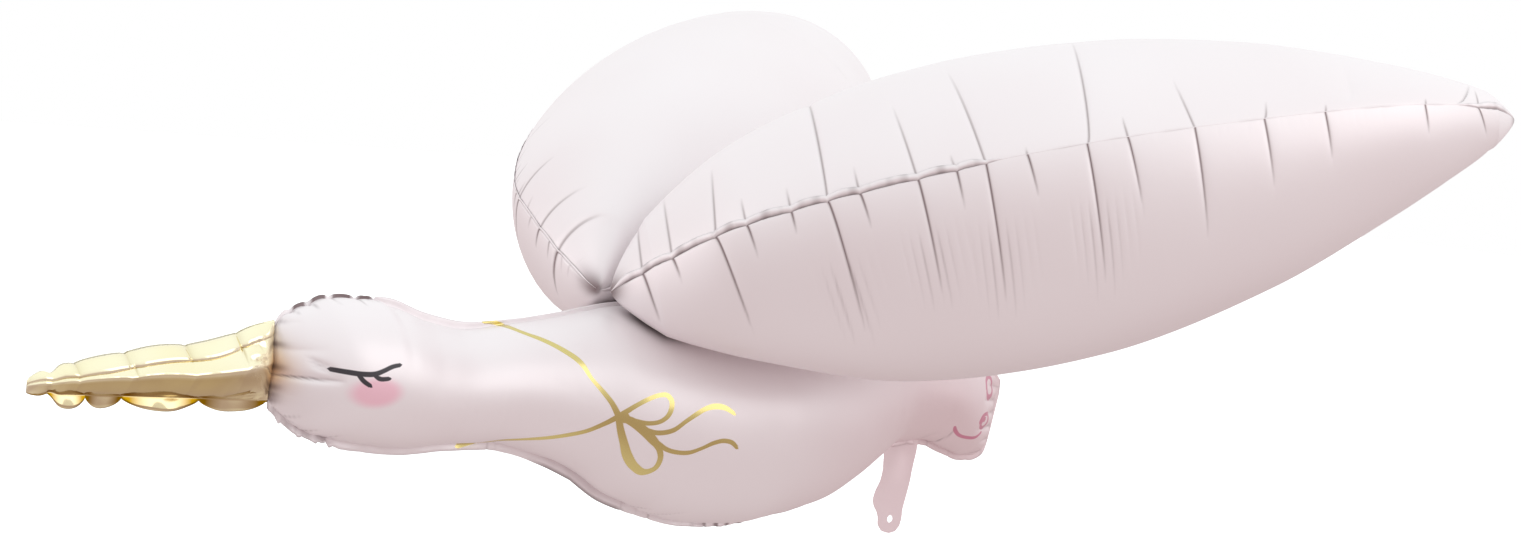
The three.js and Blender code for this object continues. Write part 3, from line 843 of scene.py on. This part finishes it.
# The top of the beak sags between its crimps.
BEAK_SAG, SAG_PLACE, SAG_REACH = 5 * MM, 137 * MM, 30 * MM
BEAK_RIDGE = 0.5  # share of a straight-sided section in the rounded one
UNDER_SHADE = 0.66  # how dark the painted shade on the half below the ridge is
BEAK_PINCH, BEAK_SWELL, BEAK_DROP = 58 * MM, 42 * MM, 83 * MM
BEAK_COLUMNS, BEAK_STEPS, BEAK_GATHER = 260, 56, 0.4
BEAK_TOP_CREASES = in_mm([
    (22, 0, 18, 2, 2, 2), (40, 0, 14, 2, 1.6, 2), (74, 0, 30, 3, 3, 1.8), (96, 0, 12, 2, 1.4, 2),
    (117, 0, 24, 3, 3, 1.8), (138, 0, 14, 2, 1.6, 2), (159, 0, 36, 4, 3.4, 2), (164, 0, 30, 14, 2.4, 1.6),
    (170, 0, 22, 14, 2, 1.6), (178, 0, 18, 6, 2, 1.6),
])
BEAK_LOW_CREASES = in_mm([
    (20, 0, 14, 2, 2, 1.8), (45, 0, 10, 1, 2, 1.8), (73, 0, 10, 1, 2, 1.8), (135, 0, 10, 1, 2, 1.8),
    (168, 0, 22, 6, 2.2, 2), (178, 0, 16, 4, 2, 1.6),
])
BEAK_END_FOLDS = in_mm([
    (-39, 6, 34, 6, 3, 2), (-50, 8, 44, 4, 2, 2.4), (-60, 6, 30, 2, 3, 2), (-72, 8, 36, 0, 2, 2.4),
    (-85, 6, 40, -4, 3.4, 2.2), (-93, 6, 26, -4, 2.4, 2),
])
FOLDED_BAND = 12 * MM  # how far the top strip lies down over the near side
BAND_CRIMPS = np.array([0, 34, 72, 120, 161, 192]) * MM  # from the tip
BAND_PILLOW = 2.4 * MM
FRILL = 10 * MM
FRILL_PINCHES = np.array([16, 45, 73, 135, 190]) * MM
RIM_WIDTH, RIM_THICKNESS, RIM_STEP = 9 * MM, 2.2 * MM, 1 * MM
BEAK_CRIMP_STEP, BEAK_CRIMP, BEAK_CRIMP_REACH = 8 * MM, 0.7 * MM, 8 * MM
BEAK_WORN_DEPTH, BEAK_WORN_LENGTH = 1.6 * MM, 34 * MM
RIDGE_EDGE = 0.06  # of half a turn, over which the painted shade of the lower half comes in
FRILL_TWIST, FRILL_RIPPLE, FRILL_WAVE = 3.2, 1.6, 5.5 * MM


# %% Beak shape
def beak_rings():
    share = np.linspace(0, 1, BEAK_COLUMNS + 1)[:, None]
    from_tip = share * (BEAK_LENGTH - JOINT_GAP)
    from_head = BEAK_LENGTH - from_tip
    root_middle = (outline(BACK_OUTLINE, 0.0) + outline(BELLY_OUTLINE, 0.0)) / 2
    height = BEAK_TIP_HEIGHT + (BEAK_ROOT_HEIGHT - BEAK_TIP_HEIGHT) * share
    height = height * (BEAK_END + (1 - BEAK_END) * swell(from_tip, BEAK_TIP_HEIGHT))
    height = height * (1 - KNOB_PINCH * np.exp(-((from_tip - KNOB_PLACE) / KNOB_REACH) ** 2))
    middle = -BEAK_DROP + (root_middle + BEAK_DROP) * share
    closing = swell(from_tip, BEAK_SWELL) * swell(from_head, BEAK_PINCH)
    hanging = np.minimum(FRILL, height / 3.5)
    pillow = arches(from_tip, BAND_CRIMPS)
    sag = BEAK_SAG * np.exp(-((from_tip - SAG_PLACE) / SAG_REACH) ** 2)
    sag = sag + BAND_PILLOW * (1 - pillow) * closing
    upper, lower = middle + height / 2 - 1 * MM - sag, middle - height / 2 + hanging
    half = BEAK_FULLNESS * height * closing
    centre, reach = (upper + lower) / 2, (upper - lower) / 2
    angle = from_weld_to_weld(BEAK_STEPS, BEAK_GATHER)
    across = centre + reach * np.cos(angle)
    arc = np.sqrt((reach**2 + half**2) / 2)
    near_top, near_low = arc * angle, arc * (np.pi - angle)
    rim = RIM_THICKNESS * np.clip(from_head / RIM_STEP, 0, 1)
    rim = rim * np.clip((RIM_WIDTH - from_head) / RIM_STEP, 0, 1)
    sheets, darks = [], []
    for sheet in (-1, 1):
        seed = 300 + sheet
        small = crimps(BEAK_LENGTH, BEAK_CRIMP_STEP, BEAK_CRIMP, seed, BEAK_CRIMP_REACH)
        at_top, dark_top = valleys(from_tip, near_top, BEAK_TOP_CREASES + small)
        at_low, dark_low = valleys(from_tip, near_low, BEAK_LOW_CREASES + small)
        ends, dark_ends = valleys(across, np.broadcast_to(from_head, across.shape), BEAK_END_FOLDS)
        # Painted shade: the creases, the folds at the wide end and the half below the ridge.
        under = UNDER_SHADE * np.clip((angle - 0.5 * np.pi) / (RIDGE_EDGE * np.pi), 0, 1) * closing
        darks.append(np.maximum.reduce([0.7 * dark_top, 0.7 * dark_low, 0.4 * dark_ends, under]))
        worn = ridges(from_tip, across, BEAK_WORN_LENGTH, seed + 1) - WORN_MIDDLE
        worn = BEAK_WORN_DEPTH * closing * worn
        rounded = np.sin(angle) ** BEAK_SECTION
        section = rounded * (1 - BEAK_RIDGE) + (1 - np.abs(np.cos(angle))) * BEAK_RIDGE
        thick = half * section + worn * np.sin(angle)
        thick = pressed(thick, (at_top + at_low) * closing + ends)
        sheets.append(np.maximum(thick, FOIL_EDGE + rim * np.sin(angle) ** 0.3))

    def row(across_values, thick_values):
        wide = np.broadcast_to(from_tip - BEAK_LENGTH, across_values.shape)
        thick_values = np.broadcast_to(thick_values, across_values.shape)
        return np.stack([wide, thick_values, across_values], -1) + BIRD

    shares = STRIP_SHARES[None, :]
    band = np.minimum(FOLDED_BAND * (0.8 + 0.2 * pillow), 0.8 * reach)
    band_angle = np.arccos(1 - band * shares / reach)
    raised = (0.2 + 1.2 * pillow * np.sin(np.pi * shares) + 0.3 * shares) * MM
    row_numbers = np.arange(angle.shape[1])
    near_sheet = np.interp(band_angle.ravel(), angle[0], row_numbers).reshape(band_angle.shape)
    low_step = np.clip(near_sheet.astype(int), 0, angle.shape[1] - 2)
    part = near_sheet - low_step
    rows_of = np.arange(from_tip.shape[0])[:, None]
    under = sheets[0][rows_of, low_step] * (1 - part) + sheets[0][rows_of, low_step + 1] * part
    band_across = centre + reach * np.cos(band_angle) + raised * np.cos(band_angle)
    band_thick = -under - raised * np.sin(band_angle) - 0.3 * MM
    lobe = np.zeros_like(from_tip)
    for number, (first, last) in enumerate(zip(FRILL_PINCHES[:-1], FRILL_PINCHES[1:])):
        inside = (from_tip >= first) & (from_tip <= last)
        lobe = np.where(inside, np.sin(np.pi * (from_tip - first) / (last - first)) * (-1) ** number, lobe)
    frill = hanging * (0.15 + 0.85 * np.abs(lobe) ** 0.7)
    low_across = across[:, -1:] - frill * shares
    ripple = np.sin(from_tip / FRILL_WAVE) * np.abs(lobe)
    twist = (-FRILL_TWIST * lobe - FRILL_RIPPLE * ripple) * MM
    low_thick = twist * shares**0.8
    inner = slice(1, -1)
    left = row(across[:, inner], -sheets[0][:, inner])
    right_side = row(across[:, inner], sheets[1][:, inner])
    # Painted shade on the band at its crimps, and over the frill, darkest at its pinches.
    band_shade = 0.3 * (1 - pillow) ** 2 + 0 * band_thick
    frill_shade = 0.4 + np.clip(0.9 - np.abs(lobe), 0, 0.6) + 0 * low_thick
    rings = np.concatenate([
        row(band_across, band_thick + 2 * FOIL_EDGE), left, row(low_across, low_thick - FOIL_EDGE)[:, ::-1],
        row(low_across, low_thick + FOIL_EDGE), right_side[:, ::-1],
        row(band_across + FOIL_EDGE, band_thick)[:, ::-1]], axis=1)
    painted_shades = np.concatenate([band_shade, darks[0][:, inner], frill_shade, frill_shade,
                            darks[1][:, inner][:, ::-1], band_shade], axis=1)
    return rings, painted_shades


beak = wrapped("beak_foil", *beak_rings())

# %% [markdown]
# ## Colours
# Colours are written as sRGB hex values, as picked in daylight, and turned to the linear values
# that the shaders use. One small function adds a node with its settings and links, and another reads
# a value that the vertices store.

# %% Colour and node helpers
def linear(hex_colour):
    """An sRGB hex colour as linear red, green, blue and full alpha."""
    values = [int(hex_colour[i:i + 2], 16) / 255 for i in (1, 3, 5)]
    return tuple(v / 12.92 if v <= 0.04045 else ((v + 0.055) / 1.055) ** 2.4 for v in values) + (1.0,)


def add(tree, kind, settings=None, **links):
    """A node of a kind, with its properties from settings and its inputs from values or sockets.

    An input is given by its name, with _ for a space, or as i and its number where names repeat.
    """
    node = tree.nodes.new(kind)
    for name, value in (settings or {}).items():
        setattr(node, name, value)
    for name, value in links.items():
        numbered = name[0] == "i" and name[1:].isdigit()
        socket = node.inputs[int(name[1:]) if numbered else name.replace("_", " ")]
        if isinstance(value, bpy.types.NodeSocket):
            tree.links.new(value, socket)
        else:
            socket.default_value = value
    return node


def stored(tree, name, output="Fac"):
    """A value that the vertices store, for a material."""
    return add(tree, "ShaderNodeAttribute", {"attribute_name": name}).outputs[output]


def new_material(name):
    material = bpy.data.materials.new(name)
    material.use_nodes = True
    material.node_tree.nodes.clear()
    return material


# %% [markdown]
# ## The prints
# The closed eye, the cheek, the ribbon with its bow and the marks on the tail are only ink on the
# foil, so they raise nothing. All but the cheek are pen strokes: a smooth line through given places
# on the flank, with a pen width at each place. For each stroke, every vertex of the body stores how far
# it lies to the side of the line, and how much room the pen's half width leaves there. Both change
# evenly across a face, so the material can compare them and draw a crisp edge even on large faces.
# The cheek is a soft oval. The colour also turns pinker and darker towards the tail, and beside the
# joint the head gets a painted reflection of the beak's gold.

# %% Pen strokes
PEN_STEP, PEN_SAMPLES = 1.5, 8  # millimetres between samples, and the least number of them


def stroke(points):
    """A smooth line through (x, z, pen width) in millimetres, sampled closely."""
    points = np.array(points, float)
    steps = np.concatenate([[0], np.cumsum(np.hypot(*np.diff(points[:, :2], axis=0).T))])
    samples = max(PEN_SAMPLES, int(steps[-1] / PEN_STEP))
    fine = np.linspace(0, steps[-1], samples)
    columns = []
    for k in range(3):
        slope = np.gradient(points[:, k], steps)
        i = np.clip(np.searchsorted(steps, fine, side="right") - 1, 0, len(steps) - 2)
        width = steps[i + 1] - steps[i]
        t = (fine - steps[i]) / width
        value = (1 + 2 * t) * (1 - t) ** 2 * points[i, k] + t * t * (3 - 2 * t) * points[i + 1, k]
        value += width * (t * (1 - t) ** 2 * slope[i] + t * t * (t - 1) * slope[i + 1])
        columns.append(value)
    return np.stack(columns, -1)


EYE = [
    [(-608, 134, 3.6), (-598, 133, 4), (-586, 132, 4), (-576, 132.5, 4), (-569, 135, 3.6),
     (-562, 138, 3.4), (-555, 139.5, 3)],
    [(-590, 132, 3.4), (-585.5, 127, 3.6), (-579, 123, 3.2)],
    [(-578, 132.5, 3.2), (-573, 129, 3.6), (-564, 129, 3.2)],
]
RIBBON = [
    [(-452, 168, 2.6), (-446, 168.5, 4), (-436, 166.5, 3.4), (-426, 162.5, 2.8), (-414, 158.5, 3)],
    [(-420, 160.5, 3), (-414, 158.5, 3.4), (-400, 152, 4.2), (-387, 143, 4.6), (-379, 131, 3.4),
     (-370, 121.5, 3.8), (-362, 112.7, 4.2), (-355, 102.3, 5)],
    [(-466, 69, 4.4), (-452, 72, 3.2), (-438, 76, 2), (-422, 78, 2.4), (-404, 80.5, 3.4), (-390, 84, 3.8),
     (-377, 88.2, 3.8), (-365, 95, 4.2), (-355, 101.6, 5)],
    [(-354.3, 102.4, 5), (-341, 112.2, 3.8), (-331.7, 117.3, 3.8), (-323.1, 120.4, 3.8),
     (-316.8, 120.8, 4.2), (-312.7, 116.8, 4.6), (-312.4, 110.7, 4.6), (-314.8, 104.4, 4.2),
     (-320.5, 99.6, 3.8), (-330.2, 97.5, 3.8), (-340.2, 98.5, 4.2), (-354.3, 102.4, 5)],
    [(-355.1, 101.6, 5), (-351, 91, 5.4), (-345.5, 80.5, 5.8), (-338.5, 69, 6.7), (-329.5, 60, 6.2),
     (-319.5, 55.5, 5.8), (-313.5, 59, 5), (-312.5, 67.5, 4.6), (-316.5, 76.5, 5), (-325, 84.8, 7.1),
     (-334, 92, 7.5), (-345.7, 99, 6.7), (-355.1, 101.6, 5)],
    [(-345.7, 99, 5), (-334.1, 92.7, 5), (-324.8, 90.2, 4.2), (-317.5, 90.2, 4.2), (-308.8, 92.5, 4.2),
     (-298.9, 99.9, 3.8), (-288.9, 106.6, 4.2), (-282.1, 110.4, 4.2), (-272.5, 112.8, 5),
     (-262.5, 111.8, 4.6), (-252.8, 106.9, 3.3)],
    [(-333.8, 90.5, 5), (-325, 84.8, 4.6), (-318.2, 80.6, 4.2), (-310.4, 76.4, 3.8), (-299.3, 74, 3.8),
     (-289.4, 74.2, 3.8), (-279.9, 78, 3.3), (-269.7, 82.9, 3.8), (-260.9, 84.8, 3.8), (-252.6, 83.3, 3.8),
     (-246.7, 79, 3.3)],
]
TAIL_MARKS = [
    [(82, 121, 4), (84, 128, 4), (91, 131, 3.6), (99, 128, 4), (101.5, 120, 4.4), (98, 114.5, 5),
     (91, 112.5, 6), (84.5, 115, 4.6), (82, 121, 4)],
    [(71, 92, 3.6), (73.5, 96, 3.6), (81, 98.5, 3.6), (90, 97, 4), (92, 91, 4.2), (87, 86.5, 3.8),
     (79, 86, 3.6), (74.5, 89, 3.6), (77, 93, 3.6), (82, 93.5, 4.4)],
    [(37, 88, 3.2), (46, 81, 2.8), (60, 77.5, 3), (73, 77.5, 3), (82, 81.5, 2.6)],
]
CHEEK = (-573, 118, 20, 11)  # centre x and z, half length and half height
# Painted reflection of the gold beak on the head: reach behind the joint, level and half height in
# millimetres.
GOLD_REFLECTION_REACH, GOLD_REFLECTION_LEVEL, GOLD_REFLECTION_HALF_HEIGHT, GOLD_REFLECTION_STRENGTH = 22, 128, 16, 0.95
RUMP_START, RUMP_END = -230, 30  # x in millimetres between which the colour turns pinker and darker


# %% Store the prints on the body
FAR_OUTSIDE = -50  # room, in millimetres, where no ink can reach
PEN_MARGIN = 10  # millimetres round a line in which its distances are worked out


def pen_fields(places, line):
    """For each place: how far it lies to the side of a pen line, and the room inside width and ends."""
    fields = np.zeros((len(places), 3))
    fields[:, 1] = FAR_OUTSIDE
    low, high = line[:, :2].min(0) - PEN_MARGIN, line[:, :2].max(0) + PEN_MARGIN
    near = np.flatnonzero(((places > low) & (places < high)).all(1))
    if not len(near):
        return fields
    gap = places[near][:, None, :] - line[None, :, :2]
    nearest = (gap**2).sum(-1).argmin(1)
    tangent = np.gradient(line[:, :2], axis=0)
    tangent = (tangent / np.hypot(*tangent.T)[:, None])[nearest]
    gap = gap[np.arange(len(near)), nearest]
    ahead = (gap * tangent).sum(1)
    beyond = np.where(nearest == len(line) - 1, ahead, np.where(nearest == 0, -ahead, 0))
    fields[near, 0] = tangent[:, 0] * gap[:, 1] - tangent[:, 1] * gap[:, 0]
    fields[near, 1] = line[nearest, 2] / 2 - np.clip(beyond, 0, None)
    return fields


places = np.empty(len(body.data.vertices) * 3)
body.data.vertices.foreach_get("co", places)
places = places.reshape(-1, 3)
on_side = places[:, [0, 2]] / MM
INKS = {"eye": EYE, "ribbon": RIBBON, "tail": TAIL_MARKS}
for ink, strokes in INKS.items():
    for number, points in enumerate(strokes):
        attribute = body.data.attributes.new(f"{ink}_{number}", "FLOAT_VECTOR", "POINT")
        attribute.data.foreach_set("vector", pen_fields(on_side, stroke(points)).ravel().astype(np.float32))
cheek = np.hypot((on_side[:, 0] - CHEEK[0]) / CHEEK[2], (on_side[:, 1] - CHEEK[1]) / CHEEK[3])
store(body, "cheek_ink", 1 - cheek)
rump_share = np.clip((on_side[:, 0] - RUMP_START) / (RUMP_END - RUMP_START), 0, 1)
store(body, "rump", rump_share * rump_share * (3 - 2 * rump_share))
# Painted reflection of the gold beak beside the joint.
from_joint = np.clip((on_side[:, 0] - JOINT_X / MM) / GOLD_REFLECTION_REACH, 0, 1)
level = (on_side[:, 1] - GOLD_REFLECTION_LEVEL) / GOLD_REFLECTION_HALF_HEIGHT
store(body, "painted_gold_reflection", GOLD_REFLECTION_STRENGTH * (1 - from_joint) ** 2 * np.exp(-level**2))
print("pen strokes:", {ink: len(strokes) for ink, strokes in INKS.items()})

# %% [markdown]
# ### Where two pieces touch
# In the narrow wedge where one envelope rests on another, the two films mirror only each other and the
# wedge looks dark. This shade is painted: every vertex near another piece is darkened by its distance
# from that piece.

# %% Paint shade into the wedges
TOUCH_REACH = 4.2 * MM
# Strength of the painted shade in a wedge.
WEDGE_SHADE = 0.9
WEDGE_SHOWS = 0.2  # from this darkness a vertex counts as in a wedge
BODY_AND_WINGS = [body, wings["wing_left"], wings["wing_right"]]


def wedge_darkness(piece, others):
    """How deep each vertex of a piece lies in a wedge beside other pieces, from 0 to 1, for painted shade.
    """
    trees = [BVHTree.FromPolygons([v.co for v in other.data.vertices],
                                  [p.vertices for p in other.data.polygons]) for other in others]
    darkness = np.zeros(len(piece.data.vertices))
    for number, vertex in enumerate(piece.data.vertices):
        for tree in trees:
            distance = tree.find_nearest(vertex.co, 3 * TOUCH_REACH)[3]
            if distance is not None:
                darkness[number] = max(darkness[number], math.exp(-((distance / TOUCH_REACH) ** 2)))
    return darkness


for piece in BODY_AND_WINGS:
    painted_shade = piece.data.attributes["painted_shade"]
    values = np.empty(len(piece.data.vertices), np.float32)
    painted_shade.data.foreach_get("value", values)
    wedge = wedge_darkness(piece, [other for other in BODY_AND_WINGS if other is not piece])
    painted_shade.data.foreach_set("value", np.maximum(values, WEDGE_SHADE * wedge).astype(np.float32))
    print(piece.name, "vertices in a wedge:", int((wedge > WEDGE_SHOWS).sum()))

# %% [markdown]
# ## Pearl foil
# The body and wings are polyester film with a thin metal layer under a pearl-pink lacquer. The metal
# gives broad, silky reflections, the lacquer scatters some light back and tints it, and a clear gloss
# lies on top. Fine wrinkles, too small for the mesh, are bump: film crumples in facets about 10 to 20 mm
# across, so the bump is a cell pattern softened by noise. The ribbon is printed in a bare, smoother gold
# metal, so it mirrors more sharply than the foil round it.

# %% Pearl foil material
def object_places(tree):
    return add(tree, "ShaderNodeTexCoord").outputs["Object"]


FACET_SCALE = 58.0  # facets for each metre, so each is about 17 mm wide
FACET_HEIGHT = 1.2 * MM
BEND_SCALE, BEND_AMOUNT = 38.0, (0.03, 0.03, 0.03)  # noise that keeps the facets from being even


def crumple(tree, strength):
    """Small facets of crumpled film as a bump normal."""
    where = object_places(tree)
    bent = add(tree, "ShaderNodeTexNoise", Vector=where, Scale=BEND_SCALE, Detail=2.0)
    shifted = add(tree, "ShaderNodeVectorMath", {"operation": "MULTIPLY_ADD"}, i0=bent.outputs["Color"],
                  i1=BEND_AMOUNT, i2=where)
    cells = add(tree, "ShaderNodeTexVoronoi", {"feature": "SMOOTH_F1"}, Vector=shifted.outputs[0],
                Scale=FACET_SCALE, Smoothness=0.35)
    bump = add(tree, "ShaderNodeBump", Strength=strength, Distance=FACET_HEIGHT,
               Height=cells.outputs["Distance"])
    return bump.outputs["Normal"]


INK_EDGE = 0.4  # millimetres on each side over which an ink's edge fades


def ink_mask(tree, ink, edge=INK_EDGE):
    """1 inside any stroke of an ink and 0 outside, with an edge of the given softness in millimetres."""
    total = None
    for number in range(len(INKS[ink])):
        parts = add(tree, "ShaderNodeSeparateXYZ", Vector=stored(tree, f"{ink}_{number}", "Vector"))
        aside = add(tree, "ShaderNodeMath", {"operation": "ABSOLUTE"}, i0=parts.outputs["X"]).outputs[0]
        inside = add(tree, "ShaderNodeMath", {"operation": "SUBTRACT"}, i0=parts.outputs["Y"], i1=aside)
        mask = add(tree, "ShaderNodeMapRange", {"interpolation_type": "SMOOTHSTEP"}, i1=-edge, i2=edge,
                   Value=inside.outputs[0]).outputs[0]
        if total is not None:
            mask = add(tree, "ShaderNodeMath", {"operation": "MAXIMUM"}, i0=total, i1=mask).outputs[0]
        total = mask
    return total


def mixed(tree, mask, first, second):
    mix = add(tree, "ShaderNodeMix", {"data_type": "RGBA"}, i0=mask, i6=first, i7=second)
    return mix.outputs[2]


PEARL, PEARL_SHADE = linear("#F1EAEC"), linear("#ECE2E4")
# Colour of the painted shade in creases, weld grooves, gaps and wedges.
PAINTED_SHADE_COLOUR = linear("#63494B")
RUMP = linear("#E4D0D3")
# Colour of the painted reflection of the gold beak.
GOLD_REFLECTION_COLOUR = linear("#E0B48C")
PEARL_METAL, PEARL_ROUGHNESS, RIBBON_ROUGHNESS = 0.28, 0.42, 0.2
COAT, COAT_ROUGHNESS, PEARL_CRUMPLE = 0.1, 0.15, 0.05
PEARL_PATCHES = 7.0  # broad changes of shade for each metre
CHEEK_SOFTNESS = 0.35
EYE_INK, RIBBON_INK = linear("#3A363B"), linear("#D3C281")
TAIL_INK, CHEEK_INK = linear("#CB8298"), linear("#F2C4D1")


def pearl_foil(name, printed):
    material = new_material(name)
    tree = material.node_tree
    patches = add(tree, "ShaderNodeTexNoise", Vector=object_places(tree), Scale=PEARL_PATCHES, Detail=1.0)
    colour = mixed(tree, patches.outputs["Fac"], PEARL, PEARL_SHADE)
    metal, rough = PEARL_METAL, PEARL_ROUGHNESS
    if printed:
        blush = add(tree, "ShaderNodeMapRange", {"interpolation_type": "SMOOTHSTEP"},
                    Value=stored(tree, "cheek_ink"), i1=-CHEEK_SOFTNESS, i2=CHEEK_SOFTNESS)
        # The colour turns pinker and darker towards the tail.
        colour = mixed(tree, stored(tree, "rump"), colour, RUMP)
        # Painted reflection of the beak's gold on the head beside the joint.
        colour = mixed(tree, stored(tree, "painted_gold_reflection"), colour, GOLD_REFLECTION_COLOUR)
        colour = mixed(tree, blush.outputs[0], colour, CHEEK_INK)
        colour = mixed(tree, ink_mask(tree, "tail"), colour, TAIL_INK)
        ribbon = ink_mask(tree, "ribbon")
        colour = mixed(tree, ribbon, colour, RIBBON_INK)
        eye = ink_mask(tree, "eye")
        colour = mixed(tree, eye, colour, EYE_INK)
        metal = add(tree, "ShaderNodeMapRange", Value=ribbon, i3=PEARL_METAL, i4=1.0).outputs[0]
        rough = add(tree, "ShaderNodeMapRange", Value=ribbon, i3=PEARL_ROUGHNESS,
                    i4=RIBBON_ROUGHNESS).outputs[0]
    # Painted shade stored on the vertices darkens the colour in creases, welds, gaps and wedges.
    colour = mixed(tree, stored(tree, "painted_shade"), colour, PAINTED_SHADE_COLOUR)
    shader = add(tree, "ShaderNodeBsdfPrincipled", Base_Color=colour, Metallic=metal, Roughness=rough,
                 Coat_Weight=COAT, Coat_Roughness=COAT_ROUGHNESS, Normal=crumple(tree, PEARL_CRUMPLE))
    add(tree, "ShaderNodeOutputMaterial", Surface=shader.outputs[0])
    return material


# %% [markdown]
# ## Gold foil
# The beak is the same film with a yellow lacquer over bright metal. It mirrors the room, so it is a
# full metal with low roughness, and its colour comes from the lacquer.

# %% Gold foil material
# The third colour is the painted shade of creases, band, frill and lower flanks.
GOLD, GOLD_SHADE, GOLD_PAINTED_SHADE = linear("#FBF4DA"), linear("#F6E9BE"), linear("#A07A08")
GOLD_ROUGHNESS, GOLD_CRUMPLE = 0.12, 0.1
GOLD_PATCHES = 20.0  # changes of shade for each metre


def gold_foil():
    material = new_material("gold_metallised_film")
    tree = material.node_tree
    patches = add(tree, "ShaderNodeTexNoise", Vector=object_places(tree), Scale=GOLD_PATCHES, Detail=1.0)
    colour = mixed(tree, patches.outputs["Fac"], GOLD, GOLD_SHADE)
    # Painted shade stored on the vertices.
    colour = mixed(tree, stored(tree, "painted_shade"), colour, GOLD_PAINTED_SHADE)
    shader = add(tree, "ShaderNodeBsdfPrincipled", Base_Color=colour, Metallic=1.0,
                 Roughness=GOLD_ROUGHNESS, Normal=crumple(tree, GOLD_CRUMPLE))
    add(tree, "ShaderNodeOutputMaterial", Surface=shader.outputs[0])
    return material


# %% Dress the pieces
printed_foil = pearl_foil("printed_pearl_film", True)
plain_foil = pearl_foil("pearl_film", False)
gold = gold_foil()
dressed = [
    (body, "body", "pearl_foil", printed_foil),
    (beak, "beak", "gold_foil", gold),
    (wings["wing_left"], "wing_left", "pearl_foil", plain_foil),
    (wings["wing_right"], "wing_right", "pearl_foil", plain_foil),
]
for piece, node, slot, material in dressed:
    piece.data.materials.clear()
    piece.data.materials.append(material)
    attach(piece, "root")
    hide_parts(node)
    print(piece.name, sum(len(p.vertices) - 2 for p in piece.data.polygons), "triangles")

# %% [markdown]
# ## Floor and light
# A pale floor lies well under the hanging balloon, inside a white dome that only the camera sees. What
# the foil mirrors is the room: pale overhead, warmer and darker below. One wide soft lamp stands to
# the right of the camera, a smaller one ahead of the bird, and a third stands low, ahead of the bird
# and to its right, and lights the far wing from below.

# %% Studio
FLOOR_Z = -0.55
DOME_RADIUS = 40
ROOM_LIGHT = 1.16
FLOOR_ROUGHNESS, FLOOR_GLOW = 0.9, 0.4
LAMPS = [  # name, place, target, size and radiance
    ("wide_lamp", (0.9, -2.3, 1.05), (-0.4, 0, 0.12), (2.0, 2.0), 0.95),
    ("low_lamp", (-2.3, 2.0, -0.2), (-0.1, 0.45, 0.3), (1.4, 1.2), 1.5),
    ("front_lamp", (-2.9, 0.7, 0.9), (-0.4, 0, 0.2), (1.6, 1.4), 0.5),
]
ROOM_BANDS = [  # from straight down to straight up
    (0.0, "#DED7D6"), (0.15, "#C2B3B2"), (0.3, "#BCACAB"), (0.44, "#CFC4C4"), (0.5, "#E7E5E5"),
    (0.65, "#F1F3F3"), (1.0, "#F6FDFD"),
]


def only_seen(stand):
    """Keeps a backdrop out of the light and the reflections."""
    stand.visible_diffuse = False
    stand.visible_glossy = False
    stand.visible_transmission = False
    stand.visible_shadow = False


def studio_floor():
    bpy.ops.object.select_all(action="DESELECT")
    bpy.ops.mesh.primitive_plane_add(size=DOME_RADIUS, location=(0, 0, FLOOR_Z))
    floor = bpy.context.object
    floor.name = "studio_floor"
    material = new_material("white_paper")
    tree = material.node_tree
    shader = add(tree, "ShaderNodeBsdfPrincipled", Base_Color=linear("#FAFAFA"),
                 Roughness=FLOOR_ROUGHNESS, Emission_Color=linear("#FFFFFF"),
                 Emission_Strength=FLOOR_GLOW)
    add(tree, "ShaderNodeOutputMaterial", Surface=shader.outputs[0])
    floor.data.materials.append(material)
    floor.visible_glossy = False
    floor.visible_diffuse = False


def studio_dome():
    bpy.ops.object.select_all(action="DESELECT")
    bpy.ops.mesh.primitive_uv_sphere_add(segments=48, ring_count=24, radius=DOME_RADIUS)
    dome = bpy.context.object
    dome.name = "studio_dome"
    material = new_material("white_backdrop")
    tree = material.node_tree
    glow = add(tree, "ShaderNodeEmission", Color=linear("#FFFFFF"), Strength=1.0)
    add(tree, "ShaderNodeOutputMaterial", Surface=glow.outputs[0])
    dome.data.materials.append(material)
    only_seen(dome)


def studio_room():
    world = bpy.data.worlds.new("pale_room")
    bpy.context.scene.world = world
    world.use_nodes = True
    tree = world.node_tree
    tree.nodes.clear()
    place = add(tree, "ShaderNodeTexCoord").outputs["Generated"]
    height = add(tree, "ShaderNodeSeparateXYZ", Vector=place).outputs["Z"]
    share = add(tree, "ShaderNodeMapRange", Value=height, i1=-1.0, i2=1.0).outputs[0]
    ramp = add(tree, "ShaderNodeValToRGB", Fac=share)
    bands = ramp.color_ramp.elements
    while len(bands) < len(ROOM_BANDS):
        bands.new(0.5)
    for band, (position, colour) in zip(bands, ROOM_BANDS):
        band.position = position
        band.color = linear(colour)
    light = add(tree, "ShaderNodeBackground", Color=ramp.outputs[0], Strength=ROOM_LIGHT)
    add(tree, "ShaderNodeOutputWorld", Surface=light.outputs[0])


def soft_lamp(name, place, target, size, radiance):
    lamp = bpy.data.lights.new(name, "AREA")
    lamp.shape = "RECTANGLE"
    lamp.size, lamp.size_y = size
    lamp.energy = radiance * math.pi * size[0] * size[1]
    holder = bpy.data.objects.new(name, lamp)
    bpy.context.collection.objects.link(holder)
    aim = Vector(target) - Vector(place)
    holder.matrix_world = Matrix.Translation(place) @ aim.to_track_quat("-Z", "Y").to_matrix().to_4x4()


studio_floor()
studio_dome()
studio_room()
for lamp in LAMPS:
    soft_lamp(*lamp)
bpy.context.scene.view_settings.view_transform = "Standard"
